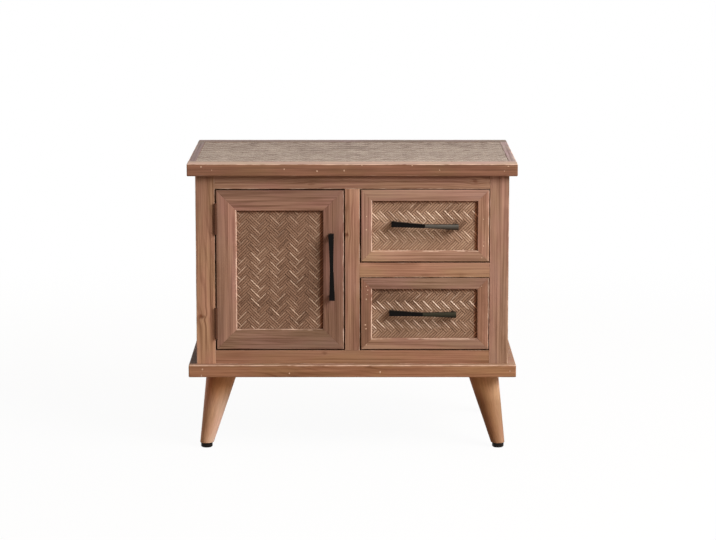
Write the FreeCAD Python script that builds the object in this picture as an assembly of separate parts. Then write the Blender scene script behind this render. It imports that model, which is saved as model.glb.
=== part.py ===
import FreeCAD, Part
import math
import os

from FreeCAD import Vector

# Side cabinet with one inset door and two inset drawers on four splayed legs.
# Units are millimetres. X runs to the right seen from the front, Y runs to the
# back, Z runs up. The origin is on the floor, under the middle of the whole
# object, the door handle included.

# ---- driving dimensions ----------------------------------------------------
WIDTH = 686.0                 # top and base boards, 27 in
SLAB_DEPTH = 457.0            # top and base boards, 18 in
HEIGHT = 610.0                # floor to table top, 24 in
SLAB_THICKNESS = 26.0         # top and base boards
LEG_HEIGHT = 160.0            # floor to the underside of the base board
OVERHANG = 16.5               # boards past the carcass, at the front and the sides
REAR_OVERHANG = 10.0          # boards past the carcass at the back

TOP_FRAME_WIDTH = 44.0        # boards along the front and the back of the table top
TOP_LIPPING_WIDTH = 16.0      # narrow boards on the sides of the table top, between them
TONGUE = 8.0                  # tongue of the top panel, thickness and reach
EDGE_EASE = 2.0               # rounded outer edges of the boards

SIDE_THICKNESS = 15.0
BACK_THICKNESS = 6.0
BACK_RABBET = 8.0             # reach of the rabbet into each side panel
DIVIDER_THICKNESS = 15.0
FACE_THICKNESS = 20.0         # stiles and rails of the face frame
STILE_WIDTH = 40.0
MIDDLE_STILE_WIDTH = 31.0
BOTTOM_RAIL_HEIGHT = 28.5
OPENING_HEIGHT = 341.0        # door opening, also both drawer openings and the middle rail
MIDDLE_RAIL_HEIGHT = 31.0

FRONT_GAP = 2.5               # gap round the door and the drawer fronts
FRONT_PROUD = 1.5             # fronts stand proud of the face frame
FRONT_THICKNESS = 18.0        # mitred frames of the door and the drawer fronts
PANEL_RECESS = 7.0            # herringbone panels lie this deep in their frames
PANEL_RABBET = 8.0            # panel edge held behind the frame
DOOR_FRAME_WIDTH = 43.0
DRAWER_FRAME_WIDTH = 23.5
FRONT_EASE = 1.2

SHELF_THICKNESS = 15.0
SHELF_TOP = 385.0
SHELF_PIN_RADIUS = 2.5
SHELF_PIN_LENGTH = 18.0
SHELF_PIN_DEPTH = 8.0
SHELF_PIN_INSET = 50.0        # pins from the face frame and from the back panel
SHELF_SLACK = 1.0             # gap round the loose shelf

BOX_WIDTH = 258.0             # drawer boxes
BOX_LENGTH = 350.0
BOX_HEIGHT = 125.0
BOX_WALL = 12.0
BOX_LIFT = 10.0               # drawer box bottom above the drawer front's lower edge
BOX_BOTTOM_THICKNESS = 5.0
BOX_BOTTOM_LIFT = 8.0         # groove above the lower edge of the sides
BOX_GROOVE = 5.0
RUNNER_LEDGE = 12.0           # thickness of the ledge under a drawer side
RUNNER_GUIDE = 22.0           # guide wall above the ledge
RUNNER_CLEARANCE = 0.4        # drawer box above its ledge, and in front of its stop
SIDE_CLEARANCE = 1.0          # drawer box to its guides
STOP_LENGTH = 20.0
CLEAT = 20.0

HANDLE_LENGTH = 140.0
HANDLE_HOLE_SPACING = 128.0
HANDLE_PROJECTION = 30.0      # mounting face to the ridge in the middle of the bar
HANDLE_END_DROP = 7.0         # the ends lie this far behind the ridge
HANDLE_END_WIDTH = 11.8
HANDLE_MIDDLE_WIDTH = 7.2
HANDLE_END_DEPTH = 8.0
HANDLE_MIDDLE_DEPTH = 10.0
HANDLE_POST = 9.0
HANDLE_SCREW_RADIUS = 2.0
HANDLE_SCREW_HEAD_RADIUS = 4.0
HANDLE_SCREW_HEAD = 2.4
HANDLE_SCREW_GRIP = 8.0       # screw length inside the post
DOOR_HANDLE_INSET = 25.0      # handle line from the door's free edge
DOOR_HANDLE_RAISE = 9.0       # handle centre above the door's middle
DRAWER_HANDLE_RAISE = 2.5     # handle centre above the drawer's middle
LOWER_HANDLE_SHIFT = -4.0     # the lower pull sits slightly off centre
UPPER_HANDLE_TILT = 2.6       # degrees clockwise; the pulls were put on by eye
LOWER_HANDLE_TILT = 1.4
DOOR_HANDLE_TILT = -0.8
UPRIGHT = 90.0                # degrees from a level pull to the door's

HINGE_LENGTH = 65.0
HINGE_KNUCKLES = 5
HINGE_BARREL_RADIUS = 3.0
HINGE_PIN_RADIUS = 1.5
HINGE_RUNNING_FIT = 0.06      # radial clearance of the moving knuckles
HINGE_KNUCKLE_GAP = 0.4
HINGE_CLEARANCE = 0.3
HINGE_LEAF = 1.0              # leaf thickness
HINGE_LEAF_WIDTH = 19.0
HINGE_FROM_TOP = 60.0         # hinge middle below the door's top edge
HINGE_FROM_BOTTOM = 55.0      # hinge middle above the door's bottom edge
HINGE_SCREW_RADIUS = 1.5
HINGE_SCREW_HEAD_RADIUS = 2.7
HINGE_SCREW_HEAD = 0.6
HINGE_SCREW_LENGTH = 14.0
HINGE_SCREW_SPACING = 22.0
HINGE_SCREW_SETBACK = 11.4    # screws behind the hinge axis

LEG_TOP_X = 276.5             # leg axis at the base board, from the middle
LEG_TOP_Y = 143.5
LEG_SPLAY = 34.5              # the axis runs outwards this far down to the floor, in X and in Y
LEG_TOP_RADIUS = 32.8
LEG_FOOT_RADIUS = 14.1
GLIDE_HEIGHT = 10.0
GLIDE_RADIUS = 12.3
GLIDE_STEM_RADIUS = 2.5
GLIDE_STEM = 14.0
BOLT_RADIUS = 4.0
BOLT_IN_LEG = 45.0
BOLT_IN_BASE = 20.0
INSERT_RADIUS = 6.0
INSERT_LENGTH = 16.0

CATCH_HEIGHT = 14.0
CATCH_LENGTH = 40.0
CATCH_WIDTH = 27.5
CATCH_NOSE = 18.0
CATCH_BELOW_OPENING = 5.5     # catch top below the upper edge of the opening
STRIKE_THICKNESS = 1.2
STRIKE_SIZE = 16.0
FIT = 0.05                    # glued or screwed pieces in their bores

# ---- places worked out from the driving dimensions --------------------------
handle_past_top = FRONT_PROUD + HANDLE_PROJECTION - OVERHANG
y_back = (SLAB_DEPTH + handle_past_top) / 2.0
y_front = y_back - SLAB_DEPTH
y_face = y_front + OVERHANG
y_face_back = y_face + FACE_THICKNESS
y_fronts = y_face - FRONT_PROUD
y_fronts_back = y_fronts + FRONT_THICKNESS
y_panels = y_fronts + PANEL_RECESS
y_rear = y_back - REAR_OVERHANG
y_back_panel = y_rear - BACK_THICKNESS
y_legs = (y_front + y_back) / 2.0

x_side = WIDTH / 2.0 - OVERHANG
x_side_inner = x_side - SIDE_THICKNESS
x_stile = x_side - STILE_WIDTH
x_middle = MIDDLE_STILE_WIDTH / 2.0
x_divider = DIVIDER_THICKNESS / 2.0

z_base = LEG_HEIGHT
z_floor = z_base + SLAB_THICKNESS
z_top = HEIGHT - SLAB_THICKNESS
z_opening = z_floor + BOTTOM_RAIL_HEIGHT
z_opening_top = z_opening + OPENING_HEIGHT
drawer_opening = (OPENING_HEIGHT - MIDDLE_RAIL_HEIGHT) / 2.0
z_rail = z_opening + drawer_opening
z_rail_top = z_rail + MIDDLE_RAIL_HEIGHT

front_width = x_stile - x_middle - 2.0 * FRONT_GAP
door_height = OPENING_HEIGHT - 2.0 * FRONT_GAP
drawer_height = drawer_opening - 2.0 * FRONT_GAP
door_x = -x_stile + FRONT_GAP
door_z = z_opening + FRONT_GAP
drawer_x = x_middle + FRONT_GAP
drawer_middle = drawer_x + front_width / 2.0
drawer_z = {"lower": z_opening + FRONT_GAP, "upper": z_rail_top + FRONT_GAP}
handle_shift = {"lower": LOWER_HANDLE_SHIFT, "upper": 0.0}
handle_tilt = {"lower": LOWER_HANDLE_TILT, "upper": UPPER_HANDLE_TILT}

hinge_x = -x_stile + FRONT_GAP / 2.0
hinge_y = y_fronts - HINGE_BARREL_RADIUS / 2.0
hinge_middles = (door_z + HINGE_FROM_BOTTOM, door_z + door_height - HINGE_FROM_TOP)

corners = [(-1, -1), (1, -1), (-1, 1), (1, 1)]
corner_names = {(-1, -1): "front_left", (1, -1): "front_right", (-1, 1): "back_left", (1, 1): "back_right"}

MARGIN = 1.0                  # cutting tools reach this far past what they cut
SAME = 0.01                   # coordinates closer than this are the same


# ---- helpers -------------------------------------------------------------------
def box(x0, x1, y0, y1, z0, z1):
    """Box between two corners."""
    return Part.makeBox(x1 - x0, y1 - y0, z1 - z0, Vector(x0, y0, z0))


def rod(start, end, radius):
    """Round rod between two points."""
    line = end.sub(start)
    return Part.makeCylinder(radius, line.Length, start, line)


def prism(points, travel):
    """Prism that carries a flat outline along a vector."""
    face = Part.Face(Part.makePolygon(points + [points[0]]))
    return face.extrude(travel)


def ease(shape, radius, wanted):
    """Round the straight edges whose middle point passes the test."""
    edges = []
    for edge in shape.Edges:
        middle = edge.valueAt((edge.FirstParameter + edge.LastParameter) / 2.0)
        if wanted(middle):
            edges.append(edge)
    return shape.makeFillet(radius, edges)


def near(a, b):
    """Whether two coordinates are the same."""
    return abs(a - b) < SAME


def group(solids):
    """Several separate solids in one node."""
    return Part.makeCompound(solids)


def export(name, shape):
    """Write one node."""
    shape.exportStep("parts/" + name + ".step")


def mitred_members(x0, x1, z0, z1, width):
    """Outlines, seen from the front, of the four boards of a mitred frame."""
    xi0, xi1, zi0, zi1 = x0 + width, x1 - width, z0 + width, z1 - width
    return {
        "left": [(x0, z0), (xi0, zi0), (xi0, zi1), (x0, z1)],
        "right": [(x1, z0), (x1, z1), (xi1, zi1), (xi1, zi0)],
        "bottom": [(x0, z0), (x1, z0), (xi1, zi0), (xi0, zi0)],
        "top": [(x0, z1), (xi0, zi1), (xi1, zi1), (x1, z1)],
    }


def front_frame(x0, z0, width, height, member):
    """Mitred frame of a door or drawer front, rabbeted behind for its panel."""
    x1, z1 = x0 + width, z0 + height
    pocket = box(x0 + member - PANEL_RABBET, x1 - member + PANEL_RABBET, y_panels,
                 y_fronts_back + MARGIN, z0 + member - PANEL_RABBET, z1 - member + PANEL_RABBET)
    members = {}
    for side, outline in mitred_members(x0, x1, z0, z1, member).items():
        points = [Vector(x, y_fronts, z) for x, z in outline]
        board = prism(points, Vector(0, FRONT_THICKNESS, 0))
        outer = {"left": x0, "right": x1, "bottom": z0, "top": z1}[side]
        upright = side in ("left", "right")
        board = ease(board, FRONT_EASE,
                     lambda m: near(m.y, y_fronts) and near(m.x if upright else m.z, outer))
        members[side] = board.cut(pocket)
    return members


def front_panel(x0, z0, width, height, member):
    """Panel with the herringbone face, held in the rabbet of its frame."""
    reach = member - PANEL_RABBET
    return box(x0 + reach, x0 + width - reach, y_panels, y_fronts_back, z0 + reach, z0 + height - reach)


# ---- table top and base ----------------------------------------------------------
def top_frame_boards():
    """Front and back board, and the lipping between them, all grooved for the panel."""
    x1 = WIDTH / 2.0
    xi, y0, y1 = x1 - TOP_LIPPING_WIDTH, y_front + TOP_FRAME_WIDTH, y_back - TOP_FRAME_WIDTH
    z_groove = z_top + (SLAB_THICKNESS - TONGUE) / 2.0
    groove = box(-xi - TONGUE, xi + TONGUE, y0 - TONGUE, y1 + TONGUE, z_groove, z_groove + TONGUE)
    spans = {"front": (-x1, x1, y_front, y0), "back": (-x1, x1, y1, y_back),
             "left": (-x1, -xi, y0, y1), "right": (xi, x1, y0, y1)}
    boards = {}
    for side, span in spans.items():
        board = box(*span, z_top, HEIGHT)
        board = ease(board, EDGE_EASE,
                     lambda m: (near(abs(m.x), x1) or near(m.y, y_front) or near(m.y, y_back))
                     and (near(m.z, z_top) or near(m.z, HEIGHT)))
        boards[side] = board.cut(groove)
    return boards


def top_panel():
    """Core of the table top, with a tongue all round, flush with its frame."""
    x1 = WIDTH / 2.0 - TOP_LIPPING_WIDTH
    y0, y1 = y_front + TOP_FRAME_WIDTH, y_back - TOP_FRAME_WIDTH
    z_tongue = z_top + (SLAB_THICKNESS - TONGUE) / 2.0
    tongue = box(-x1 - TONGUE, x1 + TONGUE, y0 - TONGUE, y1 + TONGUE, z_tongue, z_tongue + TONGUE)
    return box(-x1, x1, y0, y1, z_top, HEIGHT).fuse(tongue).removeSplitter()


def leg_axis(side_x, side_y):
    """Leg axis where it meets the base board and where it would meet the floor."""
    top = Vector(side_x * LEG_TOP_X, y_legs + side_y * LEG_TOP_Y, z_base)
    foot = Vector(side_x * (LEG_TOP_X + LEG_SPLAY), y_legs + side_y * (LEG_TOP_Y + LEG_SPLAY), 0)
    return top, foot


def bolt_ends(side_x, side_y):
    """Hanger bolt ends, in the leg and in the base board."""
    top, foot = leg_axis(side_x, side_y)
    along = top.sub(foot).normalize()
    return top.sub(along * BOLT_IN_LEG), top.add(along * BOLT_IN_BASE)


def insert_body(side_x, side_y, inner_radius):
    """Threaded insert in the base board, cut level with the board's underside."""
    low, high = bolt_ends(side_x, side_y)
    top, foot = leg_axis(side_x, side_y)
    along = top.sub(foot).normalize()
    sleeve = rod(top.sub(along * INSERT_RADIUS), top.add(along * INSERT_LENGTH), INSERT_RADIUS)
    reach = INSERT_LENGTH + INSERT_RADIUS
    below = box(top.x - reach, top.x + reach, top.y - reach, top.y + reach, z_base - reach, z_base)
    sleeve = sleeve.cut(below)
    if inner_radius:
        sleeve = sleeve.cut(rod(low, high.add(along), inner_radius))
    return sleeve


def base_board():
    """Board between the carcass and the legs, bored for the inserts and bolts."""
    x1 = WIDTH / 2.0
    board = box(-x1, x1, y_front, y_back, z_base, z_floor)
    board = ease(board, EDGE_EASE, lambda m: near(m.z, z_base) or near(m.z, z_floor))
    for side_x, side_y in corners:
        board = board.cut(insert_body(side_x, side_y, 0))
        low, high = bolt_ends(side_x, side_y)
        board = board.cut(rod(low, high, BOLT_RADIUS))
    return board


# ---- legs ------------------------------------------------------------------------
def leg(side_x, side_y):
    """Round tapered leg, cut level at both ends, bored for its bolt and glide."""
    top, foot = leg_axis(side_x, side_y)
    slope = (LEG_TOP_RADIUS - LEG_FOOT_RADIUS) / (LEG_HEIGHT - GLIDE_HEIGHT)
    extra = LEG_TOP_RADIUS
    axis = top.sub(foot)
    stretch = (LEG_HEIGHT + extra) / LEG_HEIGHT
    radius_floor = LEG_FOOT_RADIUS - slope * GLIDE_HEIGHT
    radius_above = LEG_TOP_RADIUS + slope * extra
    cone = Part.makeCone(radius_floor, radius_above, axis.Length * stretch, foot, axis)
    reach = LEG_SPLAY + radius_above
    level = box(top.x - reach, top.x + reach, top.y - reach, top.y + reach, GLIDE_HEIGHT, z_base)
    body = cone.common(level)
    low, high = bolt_ends(side_x, side_y)
    body = body.cut(rod(low, high, BOLT_RADIUS))
    stem_foot = glide_centre(side_x, side_y)
    stem = rod(stem_foot, stem_foot.add(Vector(0, 0, GLIDE_HEIGHT + GLIDE_STEM)), GLIDE_STEM_RADIUS)
    return body.cut(stem)


def glide_centre(side_x, side_y):
    """Middle of a glide's underside, under the middle of the leg's end."""
    top, foot = leg_axis(side_x, side_y)
    share = GLIDE_HEIGHT / LEG_HEIGHT
    centre = foot.add(top.sub(foot) * share)
    return Vector(centre.x, centre.y, 0)


def glide(side_x, side_y):
    """Screw-in glide: a pad with a stem in the leg."""
    centre = glide_centre(side_x, side_y)
    pad = Part.makeCylinder(GLIDE_RADIUS, GLIDE_HEIGHT, centre)
    pad = pad.makeChamfer(EDGE_EASE, [edge for edge in pad.Edges if near(edge.BoundBox.ZMax, 0)])
    stem = rod(centre, centre.add(Vector(0, 0, GLIDE_HEIGHT + GLIDE_STEM)), GLIDE_STEM_RADIUS)
    return pad.fuse(stem).removeSplitter()


def hanger_bolt(side_x, side_y):
    """Hanger bolt along the leg's axis."""
    low, high = bolt_ends(side_x, side_y)
    return rod(low, high, BOLT_RADIUS)


# ---- carcass ----------------------------------------------------------------------
def side_panel(side):
    """Side panel with a rabbet for the back panel; the left one takes shelf pins."""
    x0, x1 = sorted((side * x_side, side * x_side_inner))
    panel = box(x0, x1, y_face_back, y_rear, z_floor, z_top)
    r0, r1 = sorted((side * (x_side_inner - MARGIN), side * (x_side_inner + BACK_RABBET)))
    panel = panel.cut(box(r0, r1, y_back_panel, y_rear + MARGIN, z_floor - MARGIN, z_top + MARGIN))
    for pin in shelf_pin_rods():
        panel = panel.cut(pin)
    return panel


def back_panel():
    """Thin board in the rabbets of the sides."""
    x1 = x_side_inner + BACK_RABBET
    return box(-x1, x1, y_back_panel, y_rear, z_floor, z_top)


def divider_panel():
    """Upright board between the door compartment and the drawers."""
    panel = box(-x_divider, x_divider, y_face_back, y_back_panel, z_floor, z_top)
    for pin in shelf_pin_rods():
        panel = panel.cut(pin)
    return panel


def shelf_pin_rods():
    """Four pins under the shelf, two in the left side and two in the divider."""
    z_pin = SHELF_TOP - SHELF_THICKNESS - SHELF_PIN_RADIUS
    out = SHELF_PIN_LENGTH - SHELF_PIN_DEPTH
    pins = []
    for y in (y_face_back + SHELF_PIN_INSET, y_back_panel - SHELF_PIN_INSET):
        pins.append(rod(Vector(-x_side_inner - SHELF_PIN_DEPTH, y, z_pin),
                        Vector(-x_side_inner + out, y, z_pin), SHELF_PIN_RADIUS))
        pins.append(rod(Vector(-x_divider + SHELF_PIN_DEPTH - MARGIN, y, z_pin),
                        Vector(-x_divider - out, y, z_pin), SHELF_PIN_RADIUS))
    return pins


def shelf():
    """Loose shelf of the door compartment."""
    return box(-x_side_inner + SHELF_SLACK, -x_divider - SHELF_SLACK, y_face_back + CLEAT,
               y_back_panel - SHELF_SLACK, SHELF_TOP - SHELF_THICKNESS, SHELF_TOP)


def hinge_clearance(radius):
    """Upright cylinders round both hinge barrels."""
    cylinders = []
    for middle in hinge_middles:
        base = Vector(hinge_x, hinge_y, middle - HINGE_LENGTH / 2.0 - HINGE_CLEARANCE)
        cylinders.append(Part.makeCylinder(radius, HINGE_LENGTH + 2.0 * HINGE_CLEARANCE, base))
    return cylinders


def face_stile_left():
    """Left stile, cut back at the hinge barrels and bored for the hinge screws."""
    stile = box(-x_side, -x_stile, y_face, y_face_back, z_floor, z_top)
    stile = ease(stile, FRONT_EASE, lambda m: near(m.x, -x_side) and near(m.y, y_face))
    for cylinder in hinge_clearance(HINGE_BARREL_RADIUS + HINGE_CLEARANCE):
        stile = stile.cut(cylinder)
    for hole in hinge_screws(-1, HINGE_SCREW_RADIUS + FIT, 0):
        stile = stile.cut(hole)
    return stile


def face_stile_right():
    """Right stile."""
    stile = box(x_stile, x_side, y_face, y_face_back, z_floor, z_top)
    return ease(stile, FRONT_EASE, lambda m: near(m.x, x_side) and near(m.y, y_face))


def face_stile_middle():
    """Stile between the door and the drawers."""
    return box(-x_middle, x_middle, y_face, y_face_back, z_opening, z_opening_top)


def face_rails():
    """Rails of the face frame."""
    return {
        "top": box(-x_stile, x_stile, y_face, y_face_back, z_opening_top, z_top),
        "bottom": box(-x_stile, x_stile, y_face, y_face_back, z_floor, z_opening),
        "middle": box(x_middle, x_stile, y_face, y_face_back, z_rail, z_rail_top),
    }


def box_z(level):
    """Underside of a drawer box."""
    return drawer_z[level] + BOX_LIFT


def drawer_runners(level):
    """Two runners: a guide wall, a ledge under the drawer side and a stop behind it."""
    z_ledge = box_z(level) - RUNNER_CLEARANCE
    box_left = drawer_middle - BOX_WIDTH / 2.0
    box_right = drawer_middle + BOX_WIDTH / 2.0
    y_stop = y_fronts_back + BOX_LENGTH + RUNNER_CLEARANCE
    spans = ((x_divider, box_left - SIDE_CLEARANCE, box_left + BOX_WALL),
             (x_side_inner, box_right + SIDE_CLEARANCE, box_right - BOX_WALL))
    runners = []
    for wall, guide, ledge in spans:
        g0, g1 = sorted((wall, guide))
        l0, l1 = sorted((wall, ledge))
        runner = box(g0, g1, y_face_back, y_back_panel, z_ledge - RUNNER_LEDGE, z_ledge + RUNNER_GUIDE)
        runner = runner.fuse(box(l0, l1, y_face_back, y_back_panel, z_ledge - RUNNER_LEDGE, z_ledge))
        runner = runner.fuse(box(l0, l1, y_stop, y_stop + STOP_LENGTH, z_ledge - RUNNER_LEDGE,
                                 z_ledge + RUNNER_GUIDE))
        runners.append(runner.removeSplitter())
    return group(runners)


def top_cleats():
    """Strips that hold the table top; the pair over the drawers keeps them level."""
    z_kicker = box_z("upper") + BOX_HEIGHT + SIDE_CLEARANCE
    z_cleat = z_top - CLEAT
    box_left = drawer_middle - BOX_WIDTH / 2.0
    box_right = drawer_middle + BOX_WIDTH / 2.0
    strips = ((-x_side_inner, -x_side_inner + CLEAT, z_cleat), (-x_divider - CLEAT, -x_divider, z_cleat),
              (x_divider, box_left + BOX_WALL, z_kicker), (box_right - BOX_WALL, x_side_inner, z_kicker))
    return group([box(x0, x1, y_face_back, y_back_panel, z0, z_top) for x0, x1, z0 in strips])


# ---- hinges and catch --------------------------------------------------------------
def hinge_screws(side, radius, head_radius):
    """Screws of the frame leaves (side -1) or of the door leaves (side +1)."""
    face = hinge_x + side * (FRONT_GAP / 2.0 - HINGE_LEAF)
    y_screw = hinge_y + HINGE_SCREW_SETBACK
    screws = []
    for middle in hinge_middles:
        for step in (-1, 0, 1):
            start = Vector(face, y_screw, middle + step * HINGE_SCREW_SPACING)
            screw = rod(start, start.add(Vector(side * HINGE_SCREW_LENGTH, 0, 0)), radius)
            if head_radius:
                head = rod(start, start.add(Vector(side * HINGE_SCREW_HEAD, 0, 0)), head_radius)
                screw = screw.fuse(head).removeSplitter()
            screws.append(screw)
    return screws


def hinge_leaves(side, first_knuckle, bore_radius):
    """Both leaves of one side, each with every second knuckle."""
    height = HINGE_LENGTH / HINGE_KNUCKLES
    x0, x1 = sorted((hinge_x + side * FRONT_GAP / 2.0, hinge_x + side * (FRONT_GAP / 2.0 - HINGE_LEAF)))
    leaves = []
    for middle in hinge_middles:
        z0 = middle - HINGE_LENGTH / 2.0
        leaf = box(x0, x1, hinge_y, hinge_y + HINGE_LEAF_WIDTH, z0, z0 + HINGE_LENGTH)
        for index in range(HINGE_KNUCKLES):
            own = index % 2 == first_knuckle
            radius = HINGE_BARREL_RADIUS if own else HINGE_BARREL_RADIUS + HINGE_CLEARANCE
            gap = HINGE_KNUCKLE_GAP / 2.0 if own else -HINGE_KNUCKLE_GAP / 2.0
            low = 0.0 if own and index == 0 else gap
            high = 0.0 if own and index == HINGE_KNUCKLES - 1 else gap
            foot = Vector(hinge_x, hinge_y, z0 + index * height + low)
            knuckle = Part.makeCylinder(radius, height - low - high, foot)
            leaf = leaf.fuse(knuckle) if own else leaf.cut(knuckle)
        bore_foot = Vector(hinge_x, hinge_y, z0 - MARGIN)
        leaf = leaf.cut(Part.makeCylinder(bore_radius, HINGE_LENGTH + 2.0 * MARGIN, bore_foot))
        for hole in hinge_screws(side, HINGE_SCREW_RADIUS + FIT, HINGE_SCREW_HEAD_RADIUS + FIT):
            leaf = leaf.cut(hole)
        leaves.append(leaf.removeSplitter())
    return group(leaves)


def hinge_pins():
    """Pins, held in the knuckles of the frame leaves."""
    pins = []
    for middle in hinge_middles:
        base = Vector(hinge_x, hinge_y, middle - HINGE_LENGTH / 2.0)
        pins.append(Part.makeCylinder(HINGE_PIN_RADIUS, HINGE_LENGTH, base))
    return group(pins)


def catch_z():
    """Underside of the magnetic catch."""
    return z_opening_top - CATCH_BELOW_OPENING - CATCH_HEIGHT


def magnetic_catch():
    """Catch on the divider, with its nose behind the door's free edge."""
    y_nose = y_fronts_back + STRIKE_THICKNESS + RUNNER_CLEARANCE
    x0 = -x_divider - CATCH_WIDTH
    z0 = catch_z()
    nose = box(x0, x0 + CATCH_NOSE, y_nose, y_face_back + MARGIN, z0, z0 + CATCH_HEIGHT)
    body = box(x0, -x_divider, y_face_back + MARGIN, y_nose + CATCH_LENGTH, z0, z0 + CATCH_HEIGHT)
    return nose.fuse(body).removeSplitter()


def strike_plate():
    """Steel plate on the back of the door, in front of the catch."""
    x0 = -x_divider - CATCH_WIDTH + MARGIN
    z0 = catch_z() + MARGIN
    return box(x0, x0 + STRIKE_SIZE, y_fronts_back, y_fronts_back + STRIKE_THICKNESS,
               z0, z0 + CATCH_HEIGHT - 2.0 * MARGIN)


# ---- handles -----------------------------------------------------------------------
def handle_bar_half():
    """Half of the bar along +X, with its mounting face at y = 0 and the ridge at x = 0."""
    half = HANDLE_LENGTH / 2.0
    middle_front = -HANDLE_PROJECTION
    end_front = -(HANDLE_PROJECTION - HANDLE_END_DROP)
    middle_w, end_w = HANDLE_MIDDLE_WIDTH / 2.0, HANDLE_END_WIDTH / 2.0
    sections = []
    for x, front, depth, w in ((0, middle_front, HANDLE_MIDDLE_DEPTH, middle_w),
                               (half, end_front, HANDLE_END_DEPTH, end_w)):
        corners_yz = ((front, -w), (front, w), (front + depth, w), (front + depth, -w))
        points = [Vector(x, y, z) for y, z in corners_yz]
        sections.append(Part.makePolygon(points + [points[0]]))
    return Part.makeLoft(sections, True, True)


def handle_at_origin():
    """Faceted pull with two posts, bored for its screws."""
    bar_half = handle_bar_half()
    bar = bar_half.fuse(bar_half.mirror(Vector(0, 0, 0), Vector(1, 0, 0))).removeSplitter()
    root = -(HANDLE_PROJECTION - HANDLE_END_DROP) + HANDLE_END_DEPTH / 2.0
    for side in (-1, 1):
        x = side * HANDLE_HOLE_SPACING / 2.0
        bar = bar.fuse(box(x - HANDLE_POST / 2.0, x + HANDLE_POST / 2.0, root, 0,
                           -HANDLE_POST / 2.0, HANDLE_POST / 2.0))
    bar = bar.removeSplitter()
    for side in (-1, 1):
        x = side * HANDLE_HOLE_SPACING / 2.0
        bore_end = Vector(x, -HANDLE_SCREW_GRIP - FIT, 0)
        bar = bar.cut(rod(Vector(x, MARGIN, 0), bore_end, HANDLE_SCREW_RADIUS + FIT))
    return bar


def handle_screws_at_origin(board):
    """Two machine screws through a board of the given thickness behind the mounting face."""
    screws = []
    for side in (-1, 1):
        x = side * HANDLE_HOLE_SPACING / 2.0
        shank = rod(Vector(x, -HANDLE_SCREW_GRIP, 0), Vector(x, board, 0), HANDLE_SCREW_RADIUS)
        head = rod(Vector(x, board, 0), Vector(x, board + HANDLE_SCREW_HEAD, 0), HANDLE_SCREW_HEAD_RADIUS)
        screws.append(shank.fuse(head).removeSplitter())
    return screws


def handle_holes_at_origin(board):
    """Bores for the two screws through a board behind the mounting face."""
    holes = []
    for side in (-1, 1):
        x = side * HANDLE_HOLE_SPACING / 2.0
        holes.append(rod(Vector(x, -MARGIN, 0), Vector(x, board + MARGIN, 0), HANDLE_SCREW_RADIUS + FIT))
    return holes


def placed(shape, place, turn):
    """A handle piece turned clockwise by some degrees, seen from the front, and moved to its place."""
    copy = shape.copy()
    copy.rotate(Vector(0, 0, 0), Vector(0, 1, 0), turn)
    copy.translate(place)
    return copy


# ---- door --------------------------------------------------------------------------
def door_nodes():
    """The door's own nodes."""
    nodes = {}
    frame = front_frame(door_x, door_z, front_width, door_height, DOOR_FRAME_WIDTH)
    place = Vector(door_x + front_width - DOOR_HANDLE_INSET, y_fronts,
                   door_z + door_height / 2.0 + DOOR_HANDLE_RAISE)
    turn = UPRIGHT + DOOR_HANDLE_TILT
    for hole in handle_holes_at_origin(FRONT_THICKNESS):
        frame["right"] = frame["right"].cut(placed(hole, place, turn))
    for cylinder in hinge_clearance(HINGE_BARREL_RADIUS + HINGE_CLEARANCE):
        frame["left"] = frame["left"].cut(cylinder)
    for hole in hinge_screws(1, HINGE_SCREW_RADIUS + FIT, 0):
        frame["left"] = frame["left"].cut(hole)
    nodes["door_stile_left"] = frame["left"]
    nodes["door_stile_right"] = frame["right"]
    nodes["door_rail_top"] = frame["top"]
    nodes["door_rail_bottom"] = frame["bottom"]
    nodes["door_herringbone_panel"] = front_panel(door_x, door_z, front_width, door_height, DOOR_FRAME_WIDTH)
    nodes["door_handle"] = placed(handle_at_origin(), place, turn)
    screws = [placed(screw, place, turn) for screw in handle_screws_at_origin(FRONT_THICKNESS)]
    nodes["door_handle_screws"] = group(screws)
    nodes["hinge_door_leaves"] = hinge_leaves(1, 1, HINGE_PIN_RADIUS + HINGE_RUNNING_FIT)
    nodes["hinge_door_screws"] = group(hinge_screws(1, HINGE_SCREW_RADIUS, HINGE_SCREW_HEAD_RADIUS))
    nodes["door_strike_plate"] = strike_plate()
    return nodes


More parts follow.
